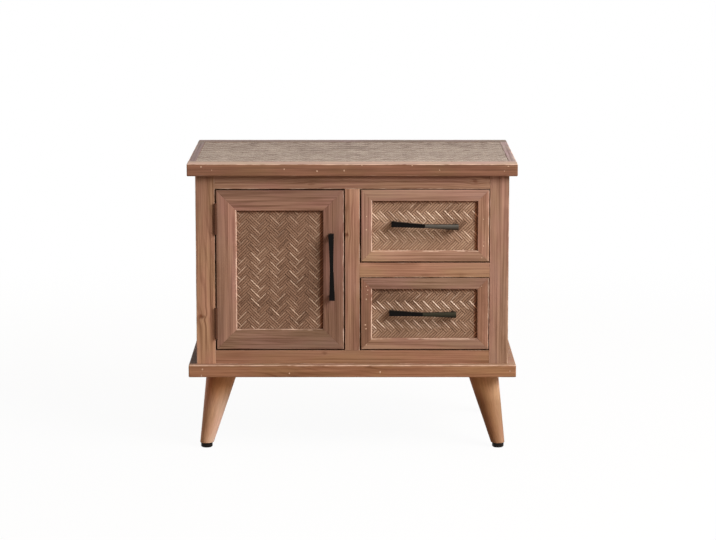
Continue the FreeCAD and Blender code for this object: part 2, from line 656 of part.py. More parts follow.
# ---- drawers -----------------------------------------------------------------------
def drawer_nodes(level):
    """Nodes of one drawer: front frame, panel, box, pull and screws."""
    z0 = drawer_z[level]
    frame = front_frame(drawer_x, z0, front_width, drawer_height, DRAWER_FRAME_WIDTH)
    panel = front_panel(drawer_x, z0, front_width, drawer_height, DRAWER_FRAME_WIDTH)
    x0, x1 = drawer_middle - BOX_WIDTH / 2.0, drawer_middle + BOX_WIDTH / 2.0
    y0 = y_fronts_back
    y1 = y0 + BOX_LENGTH
    zb, zt = box_z(level), box_z(level) + BOX_HEIGHT
    z_bottom = zb + BOX_BOTTOM_LIFT
    bottom = box(x0 + BOX_WALL - BOX_GROOVE, x1 - BOX_WALL + BOX_GROOVE, y0 + BOX_WALL - BOX_GROOVE,
                 y1 - BOX_WALL + BOX_GROOVE, z_bottom, z_bottom + BOX_BOTTOM_THICKNESS)
    box_front = box(x0, x1, y0, y0 + BOX_WALL, zb, zt).cut(bottom)
    sides = [box(x0, x0 + BOX_WALL, y0 + BOX_WALL, y1, zb, zt).cut(bottom),
             box(x1 - BOX_WALL, x1, y0 + BOX_WALL, y1, zb, zt).cut(bottom)]
    back = box(x0 + BOX_WALL, x1 - BOX_WALL, y1 - BOX_WALL, y1, zb, zt).cut(bottom)
    place = Vector(drawer_middle + handle_shift[level], y_panels,
                   z0 + drawer_height / 2.0 + DRAWER_HANDLE_RAISE)
    turn = handle_tilt[level]
    behind_handle = FRONT_THICKNESS - PANEL_RECESS + BOX_WALL
    for hole in handle_holes_at_origin(behind_handle):
        hole = placed(hole, place, turn)
        panel = panel.cut(hole)
        box_front = box_front.cut(hole)
    screws = [placed(screw, place, turn) for screw in handle_screws_at_origin(behind_handle)]
    return {
        level + "_drawer_frame_rails": group([frame["top"], frame["bottom"]]),
        level + "_drawer_frame_stiles": group([frame["left"], frame["right"]]),
        level + "_drawer_herringbone_panel": panel,
        level + "_drawer_box_front": box_front,
        level + "_drawer_sides": group(sides),
        level + "_drawer_back": back,
        level + "_drawer_bottom": bottom,
        level + "_drawer_handle": placed(handle_at_origin(), place, turn),
        level + "_drawer_handle_screws": group(screws),
    }


# ---- whole object --------------------------------------------------------------------
def cabinet_nodes():
    """Everything that stands still."""
    nodes = {}
    for side, board in top_frame_boards().items():
        nodes["top_frame_" + side] = board
    nodes["top_herringbone_panel"] = top_panel()
    nodes["base_board"] = base_board()
    nodes["side_panel_left"] = side_panel(-1)
    nodes["side_panel_right"] = side_panel(1)
    nodes["back_panel"] = back_panel()
    nodes["divider_panel"] = divider_panel()
    nodes["face_stile_left"] = face_stile_left()
    nodes["face_stile_middle"] = face_stile_middle()
    nodes["face_stile_right"] = face_stile_right()
    for name, rail in face_rails().items():
        nodes["face_rail_" + name] = rail
    nodes["shelf"] = shelf()
    nodes["shelf_pins"] = group(shelf_pin_rods())
    for level in ("upper", "lower"):
        nodes[level + "_drawer_runners"] = drawer_runners(level)
    nodes["top_cleats"] = top_cleats()
    for corner in corners:
        nodes["leg_" + corner_names[corner]] = leg(*corner)
    nodes["leg_hanger_bolts"] = group([hanger_bolt(*corner) for corner in corners])
    nodes["leg_inserts"] = group([insert_body(*corner, BOLT_RADIUS) for corner in corners])
    nodes["leg_glides"] = group([glide(*corner) for corner in corners])
    nodes["hinge_frame_leaves"] = hinge_leaves(-1, 0, HINGE_PIN_RADIUS)
    nodes["hinge_pins"] = hinge_pins()
    nodes["hinge_frame_screws"] = group(hinge_screws(-1, HINGE_SCREW_RADIUS, HINGE_SCREW_HEAD_RADIUS))
    nodes["magnetic_catch"] = magnetic_catch()
    return nodes


os.makedirs("parts", exist_ok=True)
all_nodes = cabinet_nodes()
all_nodes.update(door_nodes())
for drawer in ("upper", "lower"):
    all_nodes.update(drawer_nodes(drawer))
for node_name, node_shape in all_nodes.items():
    export(node_name, node_shape)
print(len(all_nodes), "nodes")
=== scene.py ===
"""Storage side table with door: its visible surfaces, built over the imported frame.

Every size is in millimetres until a mesh is made, in the axes of the frame:
X to the right, Y to the back, Z up, with the origin on the floor.
"""

import logging
import math
import random
from collections.abc import Sequence
from dataclasses import dataclass, field, replace
from enum import Enum

import bmesh
import bpy
from mathutils import Matrix, Vector, noise


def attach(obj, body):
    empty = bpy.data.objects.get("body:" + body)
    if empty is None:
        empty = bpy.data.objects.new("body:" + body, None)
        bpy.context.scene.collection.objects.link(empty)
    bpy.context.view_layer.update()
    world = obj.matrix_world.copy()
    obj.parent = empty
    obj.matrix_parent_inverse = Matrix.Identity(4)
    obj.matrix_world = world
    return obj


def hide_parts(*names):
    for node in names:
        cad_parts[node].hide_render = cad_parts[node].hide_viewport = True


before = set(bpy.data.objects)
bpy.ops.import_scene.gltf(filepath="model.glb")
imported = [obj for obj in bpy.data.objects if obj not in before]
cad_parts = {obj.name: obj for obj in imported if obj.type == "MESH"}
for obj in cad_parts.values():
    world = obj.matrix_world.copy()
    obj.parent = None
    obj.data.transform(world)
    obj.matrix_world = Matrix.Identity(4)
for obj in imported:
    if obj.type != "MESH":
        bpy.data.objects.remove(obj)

LOG = logging.getLogger("side_table")
MM = 0.001
EASE_STEPS = 3
CHIP_REACH = 2
Colour = tuple[float, float, float, float]
Pair = tuple[float, float]
Triple = tuple[float, float, float]
Socket = bpy.types.NodeSocket
Material = bpy.types.Material
Mesh = bpy.types.Mesh


class Body(Enum):
    """Bodies of the frame that pieces ride on."""

    CABINET = "cabinet"
    DOOR = "door"
    UPPER_DRAWER = "upper_drawer"
    LOWER_DRAWER = "lower_drawer"


class Axis(Enum):
    """Axes of the frame."""

    X = 0
    Y = 1
    Z = 2


class Side(Enum):
    """Sides of a mitred frame, seen with its face towards the viewer."""

    LEFT = "left"
    RIGHT = "right"
    BOTTOM = "bottom"
    TOP = "top"


class Layer(Enum):
    """Names of the attributes that meshes hand to their finishes."""

    GRAIN = "grain"
    # wear, with painted highlight on ridges and arrises that face the light, and below 0 dirt with painted
    # shade
    WORN = "worn"
    STAIN = "stain"
    TONE = "tone"
    STRIP = "strip"
    SLAT = "slat"
    BARED = "bared"
    CORNER = "corner"


def stain(red: int, green: int, blue: int) -> Colour:
    """Turns a colour written as 0 to 255 screen values into a linear one.

    Args:
        red: red value.
        green: green value.
        blue: blue value.

    Returns:
        Linear colour with full opacity.
    """
    linear = []
    for value in (red, green, blue):
        share = value / 255.0
        linear.append(share / 12.92 if share <= 0.04045 else ((share + 0.055) / 1.055) ** 2.4)
    return (linear[0], linear[1], linear[2], 1.0)


RAW_WOOD = stain(242, 212, 192)
KNOT_DARK = stain(84, 44, 29)
KNOT_PALE = stain(138, 82, 54)

# Where the painted shadow on the base board's ledge starts and where it is full, across and in depth.
LEDGE_SHADOW_X = (-326.2, -328.0)
LEDGE_SHADOW_Y = (-214.0, -200.0)


class Tint(Enum):
    """Multipliers that turn a colour into another tone of the same surface."""

    LATE_WOOD = (0.55, 0.47, 0.42, 1.0)
    EARLY_WOOD = (1.42, 1.45, 1.47, 1.0)
    RUDDY = (1.03, 0.975, 0.99, 1.0)
    OLIVE = (0.99, 1.025, 0.93, 1.0)
    GREYED = (0.88, 1.0, 1.12, 1.0)
    # painted shadow on the base board's ledge
    SOOT = (0.32, 0.27, 0.22, 1.0)
    JOINT = (0.25, 0.22, 0.2, 1.0)
    # dirt with painted shade on the lower side of each herringbone strip
    GRIME = (0.5, 0.46, 0.42, 1.0)
    # painted shadow in the panels' recesses
    CORNER_DIRT = (0.6, 0.33, 0.2, 1.0)
    DULL = (0.6, 0.58, 0.55, 1.0)


class Stain(Enum):
    """Tones that the reclaimed boards have taken."""

    TOP_FRONT = stain(128, 92, 72)
    TOP_BACK = stain(120, 84, 63)
    TOP_LEFT = stain(125, 88, 69)
    TOP_RIGHT = stain(150, 106, 84)
    BASE = stain(154, 114, 88)
    STILE_LEFT = stain(160, 123, 102)
    STILE_MIDDLE = stain(163, 126, 107)
    STILE_RIGHT = stain(152, 119, 103)
    RAIL_TOP = stain(153, 118, 102)
    RAIL_MIDDLE = stain(160, 123, 101)
    RAIL_BOTTOM = stain(148, 111, 89)
    DOOR_LEFT = stain(153, 117, 103)
    DOOR_RIGHT = stain(136, 103, 90)
    DOOR_BOTTOM = stain(137, 108, 93)
    DOOR_TOP = stain(141, 107, 95)
    UPPER_LEFT = stain(152, 118, 105)
    UPPER_RIGHT = stain(163, 126, 109)
    UPPER_BOTTOM = stain(166, 133, 112)
    UPPER_TOP = stain(157, 125, 110)
    LOWER_LEFT = stain(135, 100, 85)
    LOWER_RIGHT = stain(142, 104, 89)
    LOWER_BOTTOM = stain(149, 116, 100)
    LOWER_TOP = stain(144, 114, 100)
    SIDE = stain(150, 108, 84)
    BACK = stain(152, 114, 91)
    LEG_LEFT = stain(191, 150, 127)
    LEG_RIGHT = stain(149, 109, 83)


# Strength of the stain at a board's two ends, and at its two long edges, where it fades.
EVEN = (1.0, 1.0)
ALONG = {
    Stain.STILE_LEFT: (1.2, 0.8),
    Stain.STILE_MIDDLE: (0.85, 1.1),
    Stain.RAIL_TOP: (0.95, 1.05),
    Stain.BASE: (0.9, 1.0),
    Stain.DOOR_BOTTOM: (1.1, 0.85),
    Stain.DOOR_RIGHT: (0.9, 1.0),
    Stain.UPPER_BOTTOM: (1.1, 0.75),
    Stain.LOWER_BOTTOM: (1.15, 0.9),
    Stain.LOWER_LEFT: (0.85, 1.05),
}
ACROSS = {Stain.DOOR_LEFT: (0.8, 1.2), Stain.DOOR_TOP: (1.15, 0.85)}


# ---- node trees -------------------------------------------------------------------
def enabled(sockets: Sequence[Socket], name: str) -> Socket:
    """Finds the socket of that name that the node's settings leave in use.

    Args:
        sockets: inputs or outputs of a node.
        name: the socket's name.

    Returns:
        The first enabled socket of that name.
    """
    return next(socket for socket in sockets if socket.name == name and socket.enabled)


class Net:
    """A node tree, with short calls for adding and joining nodes."""

    def __init__(self, tree: bpy.types.NodeTree) -> None:
        """Keeps the tree that the calls add to."""
        self.tree = tree

    def feed(self, socket: Socket, value: object) -> None:
        """Joins a socket to another one, or sets its own value.

        Args:
            socket: the input to fill.
            value: an output socket, or a plain value.
        """
        if isinstance(value, bpy.types.NodeSocket):
            self.tree.links.new(value, socket)
        else:
            socket.default_value = value

    def node(self, kind: str, inputs: dict[str | int, object], **settings: object) -> bpy.types.Node:
        """Adds a node and fills its inputs.

        Args:
            kind: Blender's name for the kind of node.
            inputs: values by the name or the number of an input.
            settings: the node's own settings.

        Returns:
            The new node.
        """
        node = self.tree.nodes.new(kind)
        for key, value in settings.items():
            setattr(node, key, value)
        for key, value in inputs.items():
            socket = node.inputs[key] if isinstance(key, int) else enabled(node.inputs, key)
            self.feed(socket, value)
        return node

    def made(self, kind: str, inputs: dict[str | int, object], **settings: object) -> Socket:
        """Adds a node, fills its inputs and gives its first output."""
        return self.node(kind, inputs, **settings).outputs[0]

    def math(self, operation: str, first: object, second: object = 0.0, third: object = 0.0) -> Socket:
        """Adds a Math node and returns its result."""
        return self.made("ShaderNodeMath", {0: first, 1: second, 2: third}, operation=operation)

    def times(self, first: object, second: object, more: object = 0.0) -> Socket:
        """Multiplies two numbers and adds a third."""
        return self.math("MULTIPLY_ADD", first, second, more)

    def plus(self, first: object, second: object) -> Socket:
        """Adds two numbers."""
        return self.math("ADD", first, second)

    def minus(self, first: object, second: object) -> Socket:
        """Takes the second number from the first."""
        return self.math("SUBTRACT", first, second)

    def squares(self, first: Socket, second: Socket) -> Socket:
        """Adds the squares of two numbers."""
        return self.plus(self.times(first, first), self.times(second, second))

    def vector(self, x: object, y: object, z: object) -> Socket:
        """Puts three numbers together as a vector."""
        return self.made("ShaderNodeCombineXYZ", {0: x, 1: y, 2: z})

    def parts(self, vector: Socket) -> tuple[Socket, Socket, Socket]:
        """Takes a vector apart into its three numbers."""
        outputs = self.node("ShaderNodeSeparateXYZ", {0: vector}).outputs
        return outputs[0], outputs[1], outputs[2]


class Surface(Net):
    """Node tree of one material."""

    def __init__(self, name: str) -> None:
        """Starts an empty material.

        Args:
            name: its name.
        """
        self.material = bpy.data.materials.new(name)
        self.material.use_nodes = True
        super().__init__(self.material.node_tree)
        self.tree.nodes.clear()

    def layer(self, layer: Layer, output: str = "Fac") -> Socket:
        """Reads one of the mesh's attributes."""
        return self.node("ShaderNodeAttribute", {}, attribute_name=layer.value).outputs[output]

    def coordinate(self, name: str = "Object") -> Socket:
        """Reads one of the texture coordinates."""
        return self.node("ShaderNodeTexCoord", {}).outputs[name]

    def cloud(self, vector: Socket, stretch: Triple, detail: float = 2.0,
              twist: float = 0.0) -> Socket:
        """Adds soft noise that is stretched along the axes.

        Args:
            vector: where the noise is read.
            stretch: features per metre along each axis.
            detail: octaves of finer noise.
            twist: distortion of the noise.

        Returns:
            Values round one half.
        """
        place = self.made("ShaderNodeMapping", {"Vector": vector, "Scale": stretch})
        inputs = {"Vector": place, "Scale": 1.0, "Detail": detail, "Distortion": twist}
        return self.made("ShaderNodeTexNoise", inputs)

    def swayed(self, cloud: Socket, share: float, base: object) -> Socket:
        """Moves a value up and down with a cloud.

        Args:
            cloud: values round one half.
            share: how strongly they count.
            base: the value that is moved.

        Returns:
            The moved value.
        """
        return self.times(self.minus(cloud, 0.5), share, base)

    def spread(self, value: Socket, low: float, high: float, new_low: float = 0.0,
               new_high: float = 1.0) -> Socket:
        """Maps a range smoothly onto another one, held at its ends.

        Args:
            value: number to map.
            low: value that gives new_low.
            high: value that gives new_high.
            new_low: result at the low end.
            new_high: result at the high end.

        Returns:
            The mapped number.
        """
        inputs = {"Value": value, "From Min": low, "From Max": high, "To Min": new_low, "To Max": new_high}
        return self.made("ShaderNodeMapRange", inputs, interpolation_type="SMOOTHSTEP")

    def tinted(self, colour: object, tint: Tint) -> Socket:
        """Multiplies a colour by a tint."""
        return self.mix(1.0, colour, tint.value, "MULTIPLY")

    def mix(self, share: object, first: object, second: object, blend: str = "MIX") -> Socket:
        """Mixes two colours.

        Args:
            share: how much of the second colour to take.
            first: colour at 0.
            second: colour at 1.
            blend: Blender's name for the way of mixing.

        Returns:
            The mixed colour.
        """
        inputs = {0: share, 6: first, 7: second}
        return self.node("ShaderNodeMix", inputs, data_type="RGBA", blend_type=blend).outputs[2]

    def finish(self, colour: object, roughness: object, height: Socket, depth: float, gloss: float,
               metallic: float = 0.0) -> Material:
        """Ends the tree in one shader.

        Args:
            colour: base colour.
            roughness: roughness.
            height: relief for the bump, from 0 to 1.
            depth: depth of that relief in metres.
            gloss: strength of the mirrored light.
            metallic: 1 for bare metal.

        Returns:
            The finished material.
        """
        bump = self.made("ShaderNodeBump", {"Height": height, "Distance": depth, "Strength": 1.0})
        shader = self.made("ShaderNodeBsdfPrincipled", {
            "Base Color": colour, "Roughness": roughness, "Normal": bump, "Specular IOR Level": gloss,
            "Metallic": metallic})
        self.node("ShaderNodeOutputMaterial", {"Surface": shader})
        return self.material


# ---- finishes ---------------------------------------------------------------------
@dataclass(frozen=True)
class Knot:
    """A knot on the face of the cabinet, given by its middle, its half sizes and how dark it is."""

    x: float
    z: float
    half_width: float
    half_height: float
    strength: float


@dataclass(frozen=True)
class Fir:
    """Reclaimed fir: growth rings, fibres, worn arrises and greyed patches."""

    name: str
    colour: Colour | None = None
    along: Axis = Axis.X
    across: Axis = Axis.Y
    plank: float = 0.0
    ring: float = 4.6
    contrast: float = 1.0
    streaks: float = 1.45
    weathering: float = 0.3
    gloss: float = 0.25
    roughness: float = 0.5
    knots: tuple[Knot, ...] = ()
    # painted sheen: how much paler and greyer the faces that look up are painted
    upward_sheen: tuple[float, ...] = ()
    # painted shadow of the carcass on the base board's ledge
    shadowed_ledge: bool = False

    def coordinates(self, sheet: Surface) -> Socket:
        """Finds the place in the wood: along the grain, across it and into it.

        Args:
            sheet: the material's tree.

        Returns:
            The place in metres.
        """
        if self.colour is None:
            return sheet.layer(Layer.GRAIN, "Vector")
        axes = sheet.parts(sheet.coordinate())
        into = next(axis for axis in Axis if axis not in (self.along, self.across))
        return sheet.vector(axes[self.along.value], axes[self.across.value], axes[into.value])

    def planked(self, sheet: Surface, place: Socket) -> tuple[Socket, Socket, Socket]:
        """Gives each plank of a glued-up panel its own piece of the tree.

        Args:
            sheet: the material's tree.
            place: place in the wood.

        Returns:
            The new place, each plank's tone from 0 to 1, and 1 in the joints.
        """
        x, y, z = sheet.parts(place)
        steps = sheet.math("DIVIDE", y, self.plank * MM)
        number = sheet.math("FLOOR", steps)
        chance = sheet.node("ShaderNodeTexWhiteNoise", {"Vector": sheet.vector(number, 3.7, 1.3)})
        red, green, blue = sheet.parts(chance.outputs["Color"])
        jumps = ((red, 5.0, x), (green, 0.3, y), (blue, 0.05, z))
        moved = sheet.vector(*(sheet.times(draw, most, start) for draw, most, start in jumps))
        edge = sheet.math("ABSOLUTE", sheet.minus(sheet.math("FRACT", steps), 0.5))
        joint = sheet.spread(edge, 0.5 - 0.9 / self.plank, 0.5)
        return moved, chance.outputs["Value"], joint

    @staticmethod
    def away(sheet: Surface, value: Socket, middle: float, half: float) -> Socket:
        """Measures how far a place lies from a middle, in half sizes."""
        return sheet.times(sheet.minus(value, middle * MM), 1.0 / (half * MM))

    def round_knots(self, sheet: Surface, place: Socket) -> tuple[Socket, Socket | None]:
        """Bends the grain round the knots.

        Args:
            sheet: the material's tree.
            place: place in the wood.

        Returns:
            The bent place, and a mask that is 1 in the knots.
        """
        if not self.knots:
            return place, None
        x, y, z = sheet.parts(place)
        spot = sheet.parts(sheet.coordinate())
        ragged = sheet.cloud(place, (120.0, 420.0, 420.0), 2.0)
        mask = None
        for knot in self.knots:
            side = self.away(sheet, spot[0], knot.x, knot.half_width)
            rise = self.away(sheet, spot[2], knot.z, knot.half_height)
            square = sheet.squares(side, rise)
            near = sheet.math("EXPONENT", sheet.times(square, -0.22))
            upright = knot.half_height > knot.half_width
            push = sheet.times(side if upright else rise, near)
            y = sheet.times(push, -0.7 * min(knot.half_width, knot.half_height) * MM, y)
            rim = sheet.swayed(ragged, 1.8, sheet.math("SQRT", square))
            own = sheet.spread(rim, 1.45, 0.15, 0.0, knot.strength)
            mask = own if mask is None else sheet.math("MAXIMUM", mask, own)
        return sheet.vector(x, y, z), mask

    def rings(self, sheet: Surface, place: Socket) -> Socket:
        """Lays growth rings round a wandering pith.

        Args:
            sheet: the material's tree.
            place: place in the wood.

        Returns:
            A wave from 0 to 1 in each ring.
        """
        _, y, z = sheet.parts(place)
        wander = sheet.swayed(sheet.cloud(place, (7.0, 50.0, 50.0), 3.0), 0.016, y)
        side = sheet.swayed(sheet.cloud(place, (1.3, 5.0, 5.0), 1.0), 0.13, wander)
        deep = sheet.plus(z, 0.03)
        radius = sheet.math("SQRT", sheet.squares(side, deep))
        turns = sheet.times(radius, math.tau / (self.ring * MM))
        return sheet.times(sheet.math("SINE", turns), 0.5, 0.5)

    def material(self) -> Material:
        """Builds the finish.

        Returns:
            The material.
        """
        sheet = Surface(self.name)
        place = self.coordinates(sheet)
        plank_tone = joint = None
        if self.plank:
            place, plank_tone, joint = self.planked(sheet, place)
        bent, knot_mask = self.round_knots(sheet, place)
        rings = self.rings(sheet, bent)
        late = sheet.spread(rings, 0.55, 1.0)
        fibre = sheet.cloud(bent, (18.0, 1400.0, 1400.0), 3.0)
        streak = sheet.cloud(bent, (4.2, 190.0, 190.0), 4.0)
        thread = sheet.cloud(bent, (4.5, 430.0, 430.0), 1.0)
        broad = sheet.cloud(bent, (1.6, 34.0, 34.0), 2.0)
        patch = sheet.cloud(bent, (6.0, 20.0, 20.0), 3.0, 0.5)

        faint = sheet.spread(patch, 0.62, 0.35, 0.08, 0.36)
        tone = sheet.times(late, sheet.times(faint, -self.contrast), 0.68)
        for cloud, share in ((streak, 0.75), (thread, 0.9), (broad, 0.28), (fibre, 0.6), (patch, 0.3)):
            tone = sheet.swayed(cloud, share * self.streaks, tone)
        if plank_tone is not None:
            tone = sheet.swayed(plank_tone, 0.3, tone)
        tone = sheet.spread(tone, -0.05, 1.25)

        base = self.colour or sheet.layer(Layer.STAIN, "Color")
        colour = sheet.mix(tone, sheet.tinted(base, Tint.LATE_WOOD), sheet.tinted(base, Tint.EARLY_WOOD))
        warmth = sheet.spread(sheet.cloud(bent, (8.0, 26.0, 26.0), 2.0), 0.36, 0.64)
        colour = sheet.mix(1.0, colour, sheet.mix(warmth, Tint.RUDDY.value, Tint.OLIVE.value), "MULTIPLY")
        greyed = sheet.times(sheet.spread(patch, 0.45, 0.75), self.weathering)
        colour = sheet.mix(greyed, colour, sheet.tinted(base, Tint.GREYED))
        colour = self.painted_light_and_shadow(sheet, colour)
        height = sheet.times(fibre, 0.45, sheet.times(late, 0.25))
        height = sheet.times(streak, 0.4, height)
        if self.colour is None:
            colour = sheet.mix(self.wear(sheet, bent), colour, sheet.mix(0.7, base, RAW_WOOD))
        if joint is not None:
            colour = sheet.mix(joint, colour, sheet.tinted(base, Tint.JOINT))
            height = sheet.minus(height, joint)
        if knot_mask is not None:
            heart = sheet.mix(sheet.times(rings, 0.4), KNOT_DARK, KNOT_PALE)
            colour = sheet.mix(knot_mask, colour, heart)
        return sheet.finish(colour, sheet.swayed(fibre, 0.25, self.roughness), height, 0.00035, self.gloss)

    def painted_light_and_shadow(self, sheet: Surface, colour: Socket) -> Socket:
        """Paints sheen onto the faces that look up, and a shadow onto the base board's ledge beside the
        carcass.

        Args:
            sheet: the material's tree.
            colour: colour of the stained wood.

        Returns:
            The colour with painted sheen and shadow.
        """
        upwards = sheet.spread(sheet.parts(sheet.coordinate("Normal"))[2], 0.5, 0.9)
        # Painted sheen: faces that look up are paled and greyed, as where they catch the light.
        if self.upward_sheen:
            colour = sheet.mix(upwards, colour, sheet.mix(1.0, colour, self.upward_sheen, "MULTIPLY"))
        # Painted shadow: the carcass shades the left end of the base board's ledge, on its faces that look
        # up.
        if self.shadowed_ledge:
            x, y, _ = sheet.parts(sheet.coordinate())
            beyond = sheet.spread(x, *(edge * MM for edge in LEDGE_SHADOW_X))
            behind = sheet.spread(y, *(edge * MM for edge in LEDGE_SHADOW_Y))
            ledge = sheet.times(sheet.times(beyond, behind), upwards)
            colour = sheet.mix(ledge, colour, sheet.tinted(colour, Tint.SOOT))
        return colour

    @staticmethod
    def wear(sheet: Surface, place: Socket) -> Socket:
        """Rubs the stain off the arrises, here more and there less; on the fronts' arrises that face the
        light this paleness is partly painted highlight.

        Args:
            sheet: the material's tree.
            place: place in the wood.

        Returns:
            How much bare wood shows.
        """
        rubbed = sheet.swayed(sheet.cloud(place, (38.0, 220.0, 220.0), 3.0), 1.1, sheet.layer(Layer.WORN))
        return sheet.spread(rubbed, 0.55, 1.35, 0.0, 0.95)


@dataclass(frozen=True)
class SlatFir:
    """Narrow fir strips of the herringbone, each with its own tone and rubbed ridge."""

    name: str
    deep: Colour
    middle: Colour
    pale: Colour
    bare: Colour
    rub: float = 1.0
    spread: float = 0.4
    # darkening of each strip's lower side: dirt and painted shade
    grime: float = 0.75
    gloss: float = 0.2
    patchy: float = 0.9
    # strength of the painted shadow in the panel's recess
    dirt: float = 0.9
    turned: float = 0.0
    roughness: float = 0.5
    mottle: float = 0.45
    fade: tuple[float, ...] = ()
    shaded: float = 0.0
    shade_span: Pair = (0.012, 0.07)

    def corners(self, sheet: Surface) -> Socket:
        """Paints shadow along the right and upper edge of the panel, where the frame shades the recess, and a
        little darkening on the left.

        Args:
            sheet: the material's tree.

        Returns:
            How much painted shadow there is.
        """
        right, top, left = sheet.parts(sheet.layer(Layer.CORNER, "Vector"))
        most = sheet.spread(right, 0.0088, 0.0045)
        most = sheet.math("MAXIMUM", most, sheet.spread(top, 0.0075, 0.001, 0.0, 0.8))
        most = sheet.math("MAXIMUM", most, sheet.spread(left, 0.004, 0.0, 0.0, 0.3))
        return sheet.times(most, self.dirt)

    def material(self) -> Material:
        """Builds the finish.

        Returns:
            The material.
        """
        sheet = Surface(self.name)
        place = sheet.layer(Layer.GRAIN, "Vector")
        worn = sheet.layer(Layer.WORN)
        below = sheet.parts(sheet.layer(Layer.CORNER, "Vector"))[1]
        fibre = sheet.cloud(place, (30.0, 1500.0, 1500.0), 3.0)
        streak = sheet.cloud(place, (14.0, 420.0, 420.0), 2.0)
        patch = sheet.cloud(sheet.coordinate(), (14.0, 14.0, 14.0), 2.0)
        mottle = sheet.cloud(place, (210.0, 330.0, 330.0), 1.0)
        tone = sheet.times(sheet.layer(Layer.TONE), self.spread, 0.42 - 0.5 * self.spread)
        for cloud, share in ((streak, 0.6), (fibre, 0.5), (patch, self.patchy), (mottle, self.mottle)):
            tone = sheet.swayed(cloud, share, tone)
        # Painted shade: darker near the panel's upper edge and lighter further down; on the table top, darker
        # at the back and lighter at the front.
        if self.shaded:
            half = 0.5 * self.shaded
            tone = sheet.plus(tone, sheet.spread(below, *self.shade_span, -half, half))
        if self.turned:
            facing = sheet.minus(sheet.layer(Layer.BARED), 0.75)
            tone = sheet.times(facing, self.turned, tone)
        low = sheet.mix(sheet.spread(tone, -0.1, 0.45), self.deep, self.middle)
        colour = sheet.mix(sheet.spread(tone, 0.4, 1.0), low, self.pale)
        rubbed = sheet.swayed(sheet.cloud(place, (110.0, 400.0, 400.0), 2.0), 0.9, worn)
        bared = sheet.spread(sheet.swayed(patch, 0.9, rubbed), 0.3, 1.0, 0.0, self.rub)
        if self.fade:
            bared = sheet.times(bared, sheet.spread(below, *self.fade))
        colour = sheet.mix(bared, colour, self.bare)
        # Each strip's lower side, where the wear value is below 0, is darkened: dirt and painted shade.
        grime = sheet.tinted(self.deep, Tint.GRIME)
        colour = sheet.mix(sheet.spread(worn, -0.1, -0.95, 0.0, self.grime), colour, grime)
        # Painted shadow where the frame's right and upper members shade the recessed panel.
        if self.dirt:
            colour = sheet.mix(self.corners(sheet), colour, sheet.tinted(colour, Tint.CORNER_DIRT))
        roughness = sheet.times(fibre, 0.25, self.roughness)
        height = sheet.times(streak, 0.5, sheet.times(fibre, 0.5))
        return sheet.finish(colour, roughness, height, 0.0003, self.gloss)


@dataclass(frozen=True)
class Metal:
    """Painted, plated or bare metal, rubbed in places, with a painted reflection on one half of a level pull,
    whose faces turn towards the light.
    """

    name: str
    colour: Colour
    rubbed: Colour
    metallic: float
    roughness: float
    speckle: float = 900.0
    rub_from: float = 0.62
    gloss: float = 0.5
    # painted reflection on the pull's half whose faces turn right: its colour low and high up
    painted_sheen: tuple[Colour, Colour] | None = None
    level: float = 0.0
    middle: float = 151.0
    slope: float = 0.03

    def material(self) -> Material:
        """Builds the finish.

        Returns:
            The material.
        """
        sheet = Surface(self.name)
        place = sheet.coordinate()
        grit = sheet.cloud(place, (self.speckle, self.speckle, self.speckle), 2.0)
        patch = sheet.cloud(place, (90.0, 90.0, 90.0), 3.0)
        colour = sheet.mix(sheet.spread(patch, self.rub_from, self.rub_from + 0.16), self.colour, self.rubbed)
        # Painted reflection: faces that look to the front and turn a little right are paler, more so towards
        # the top.
        if self.painted_sheen is not None:
            right, back, _ = sheet.parts(sheet.coordinate("Normal"))
            brushed = sheet.cloud(place, (60.0, 500.0, 500.0), 2.0)
            share = sheet.times(sheet.spread(right, 0.04, 0.08), sheet.spread(brushed, 0.2, 0.5, 0.7, 1.0))
            share = sheet.times(share, sheet.spread(back, -0.9, -0.96))
            x, _, z = sheet.parts(place)
            rise = sheet.times(sheet.minus(x, self.middle * MM), self.slope, z)
            lit = sheet.spread(rise, (self.level - 3.0) * MM, (self.level + 7.0) * MM)
            colour = sheet.mix(share, colour, sheet.mix(lit, *self.painted_sheen))
        roughness = sheet.swayed(patch, 0.25, self.roughness)
        return sheet.finish(colour, roughness, grit, 0.00006, self.gloss, self.metallic)


@dataclass(frozen=True)
class Moulded:
    """Moulded plastic or filler with a faint grain."""

    name: str
    colour: Colour
    roughness: float = 0.55
    mottle: float = 0.6
    gloss: float = 0.5

    def material(self) -> Material:
        """Builds the finish.

        Returns:
            The material.
        """
        sheet = Surface(self.name)
        place = sheet.coordinate()
        grit = sheet.cloud(place, (1400.0, 1400.0, 1400.0), 2.0)
        patch = sheet.cloud(place, (160.0, 160.0, 160.0), 2.0)
        share = sheet.times(sheet.spread(patch, 0.35, 0.7), self.mottle)
        colour = sheet.mix(share, self.colour, sheet.tinted(self.colour, Tint.DULL))
        roughness = sheet.times(patch, 0.2, self.roughness - 0.1)
        return sheet.finish(colour, roughness, grit, 0.00005, self.gloss)


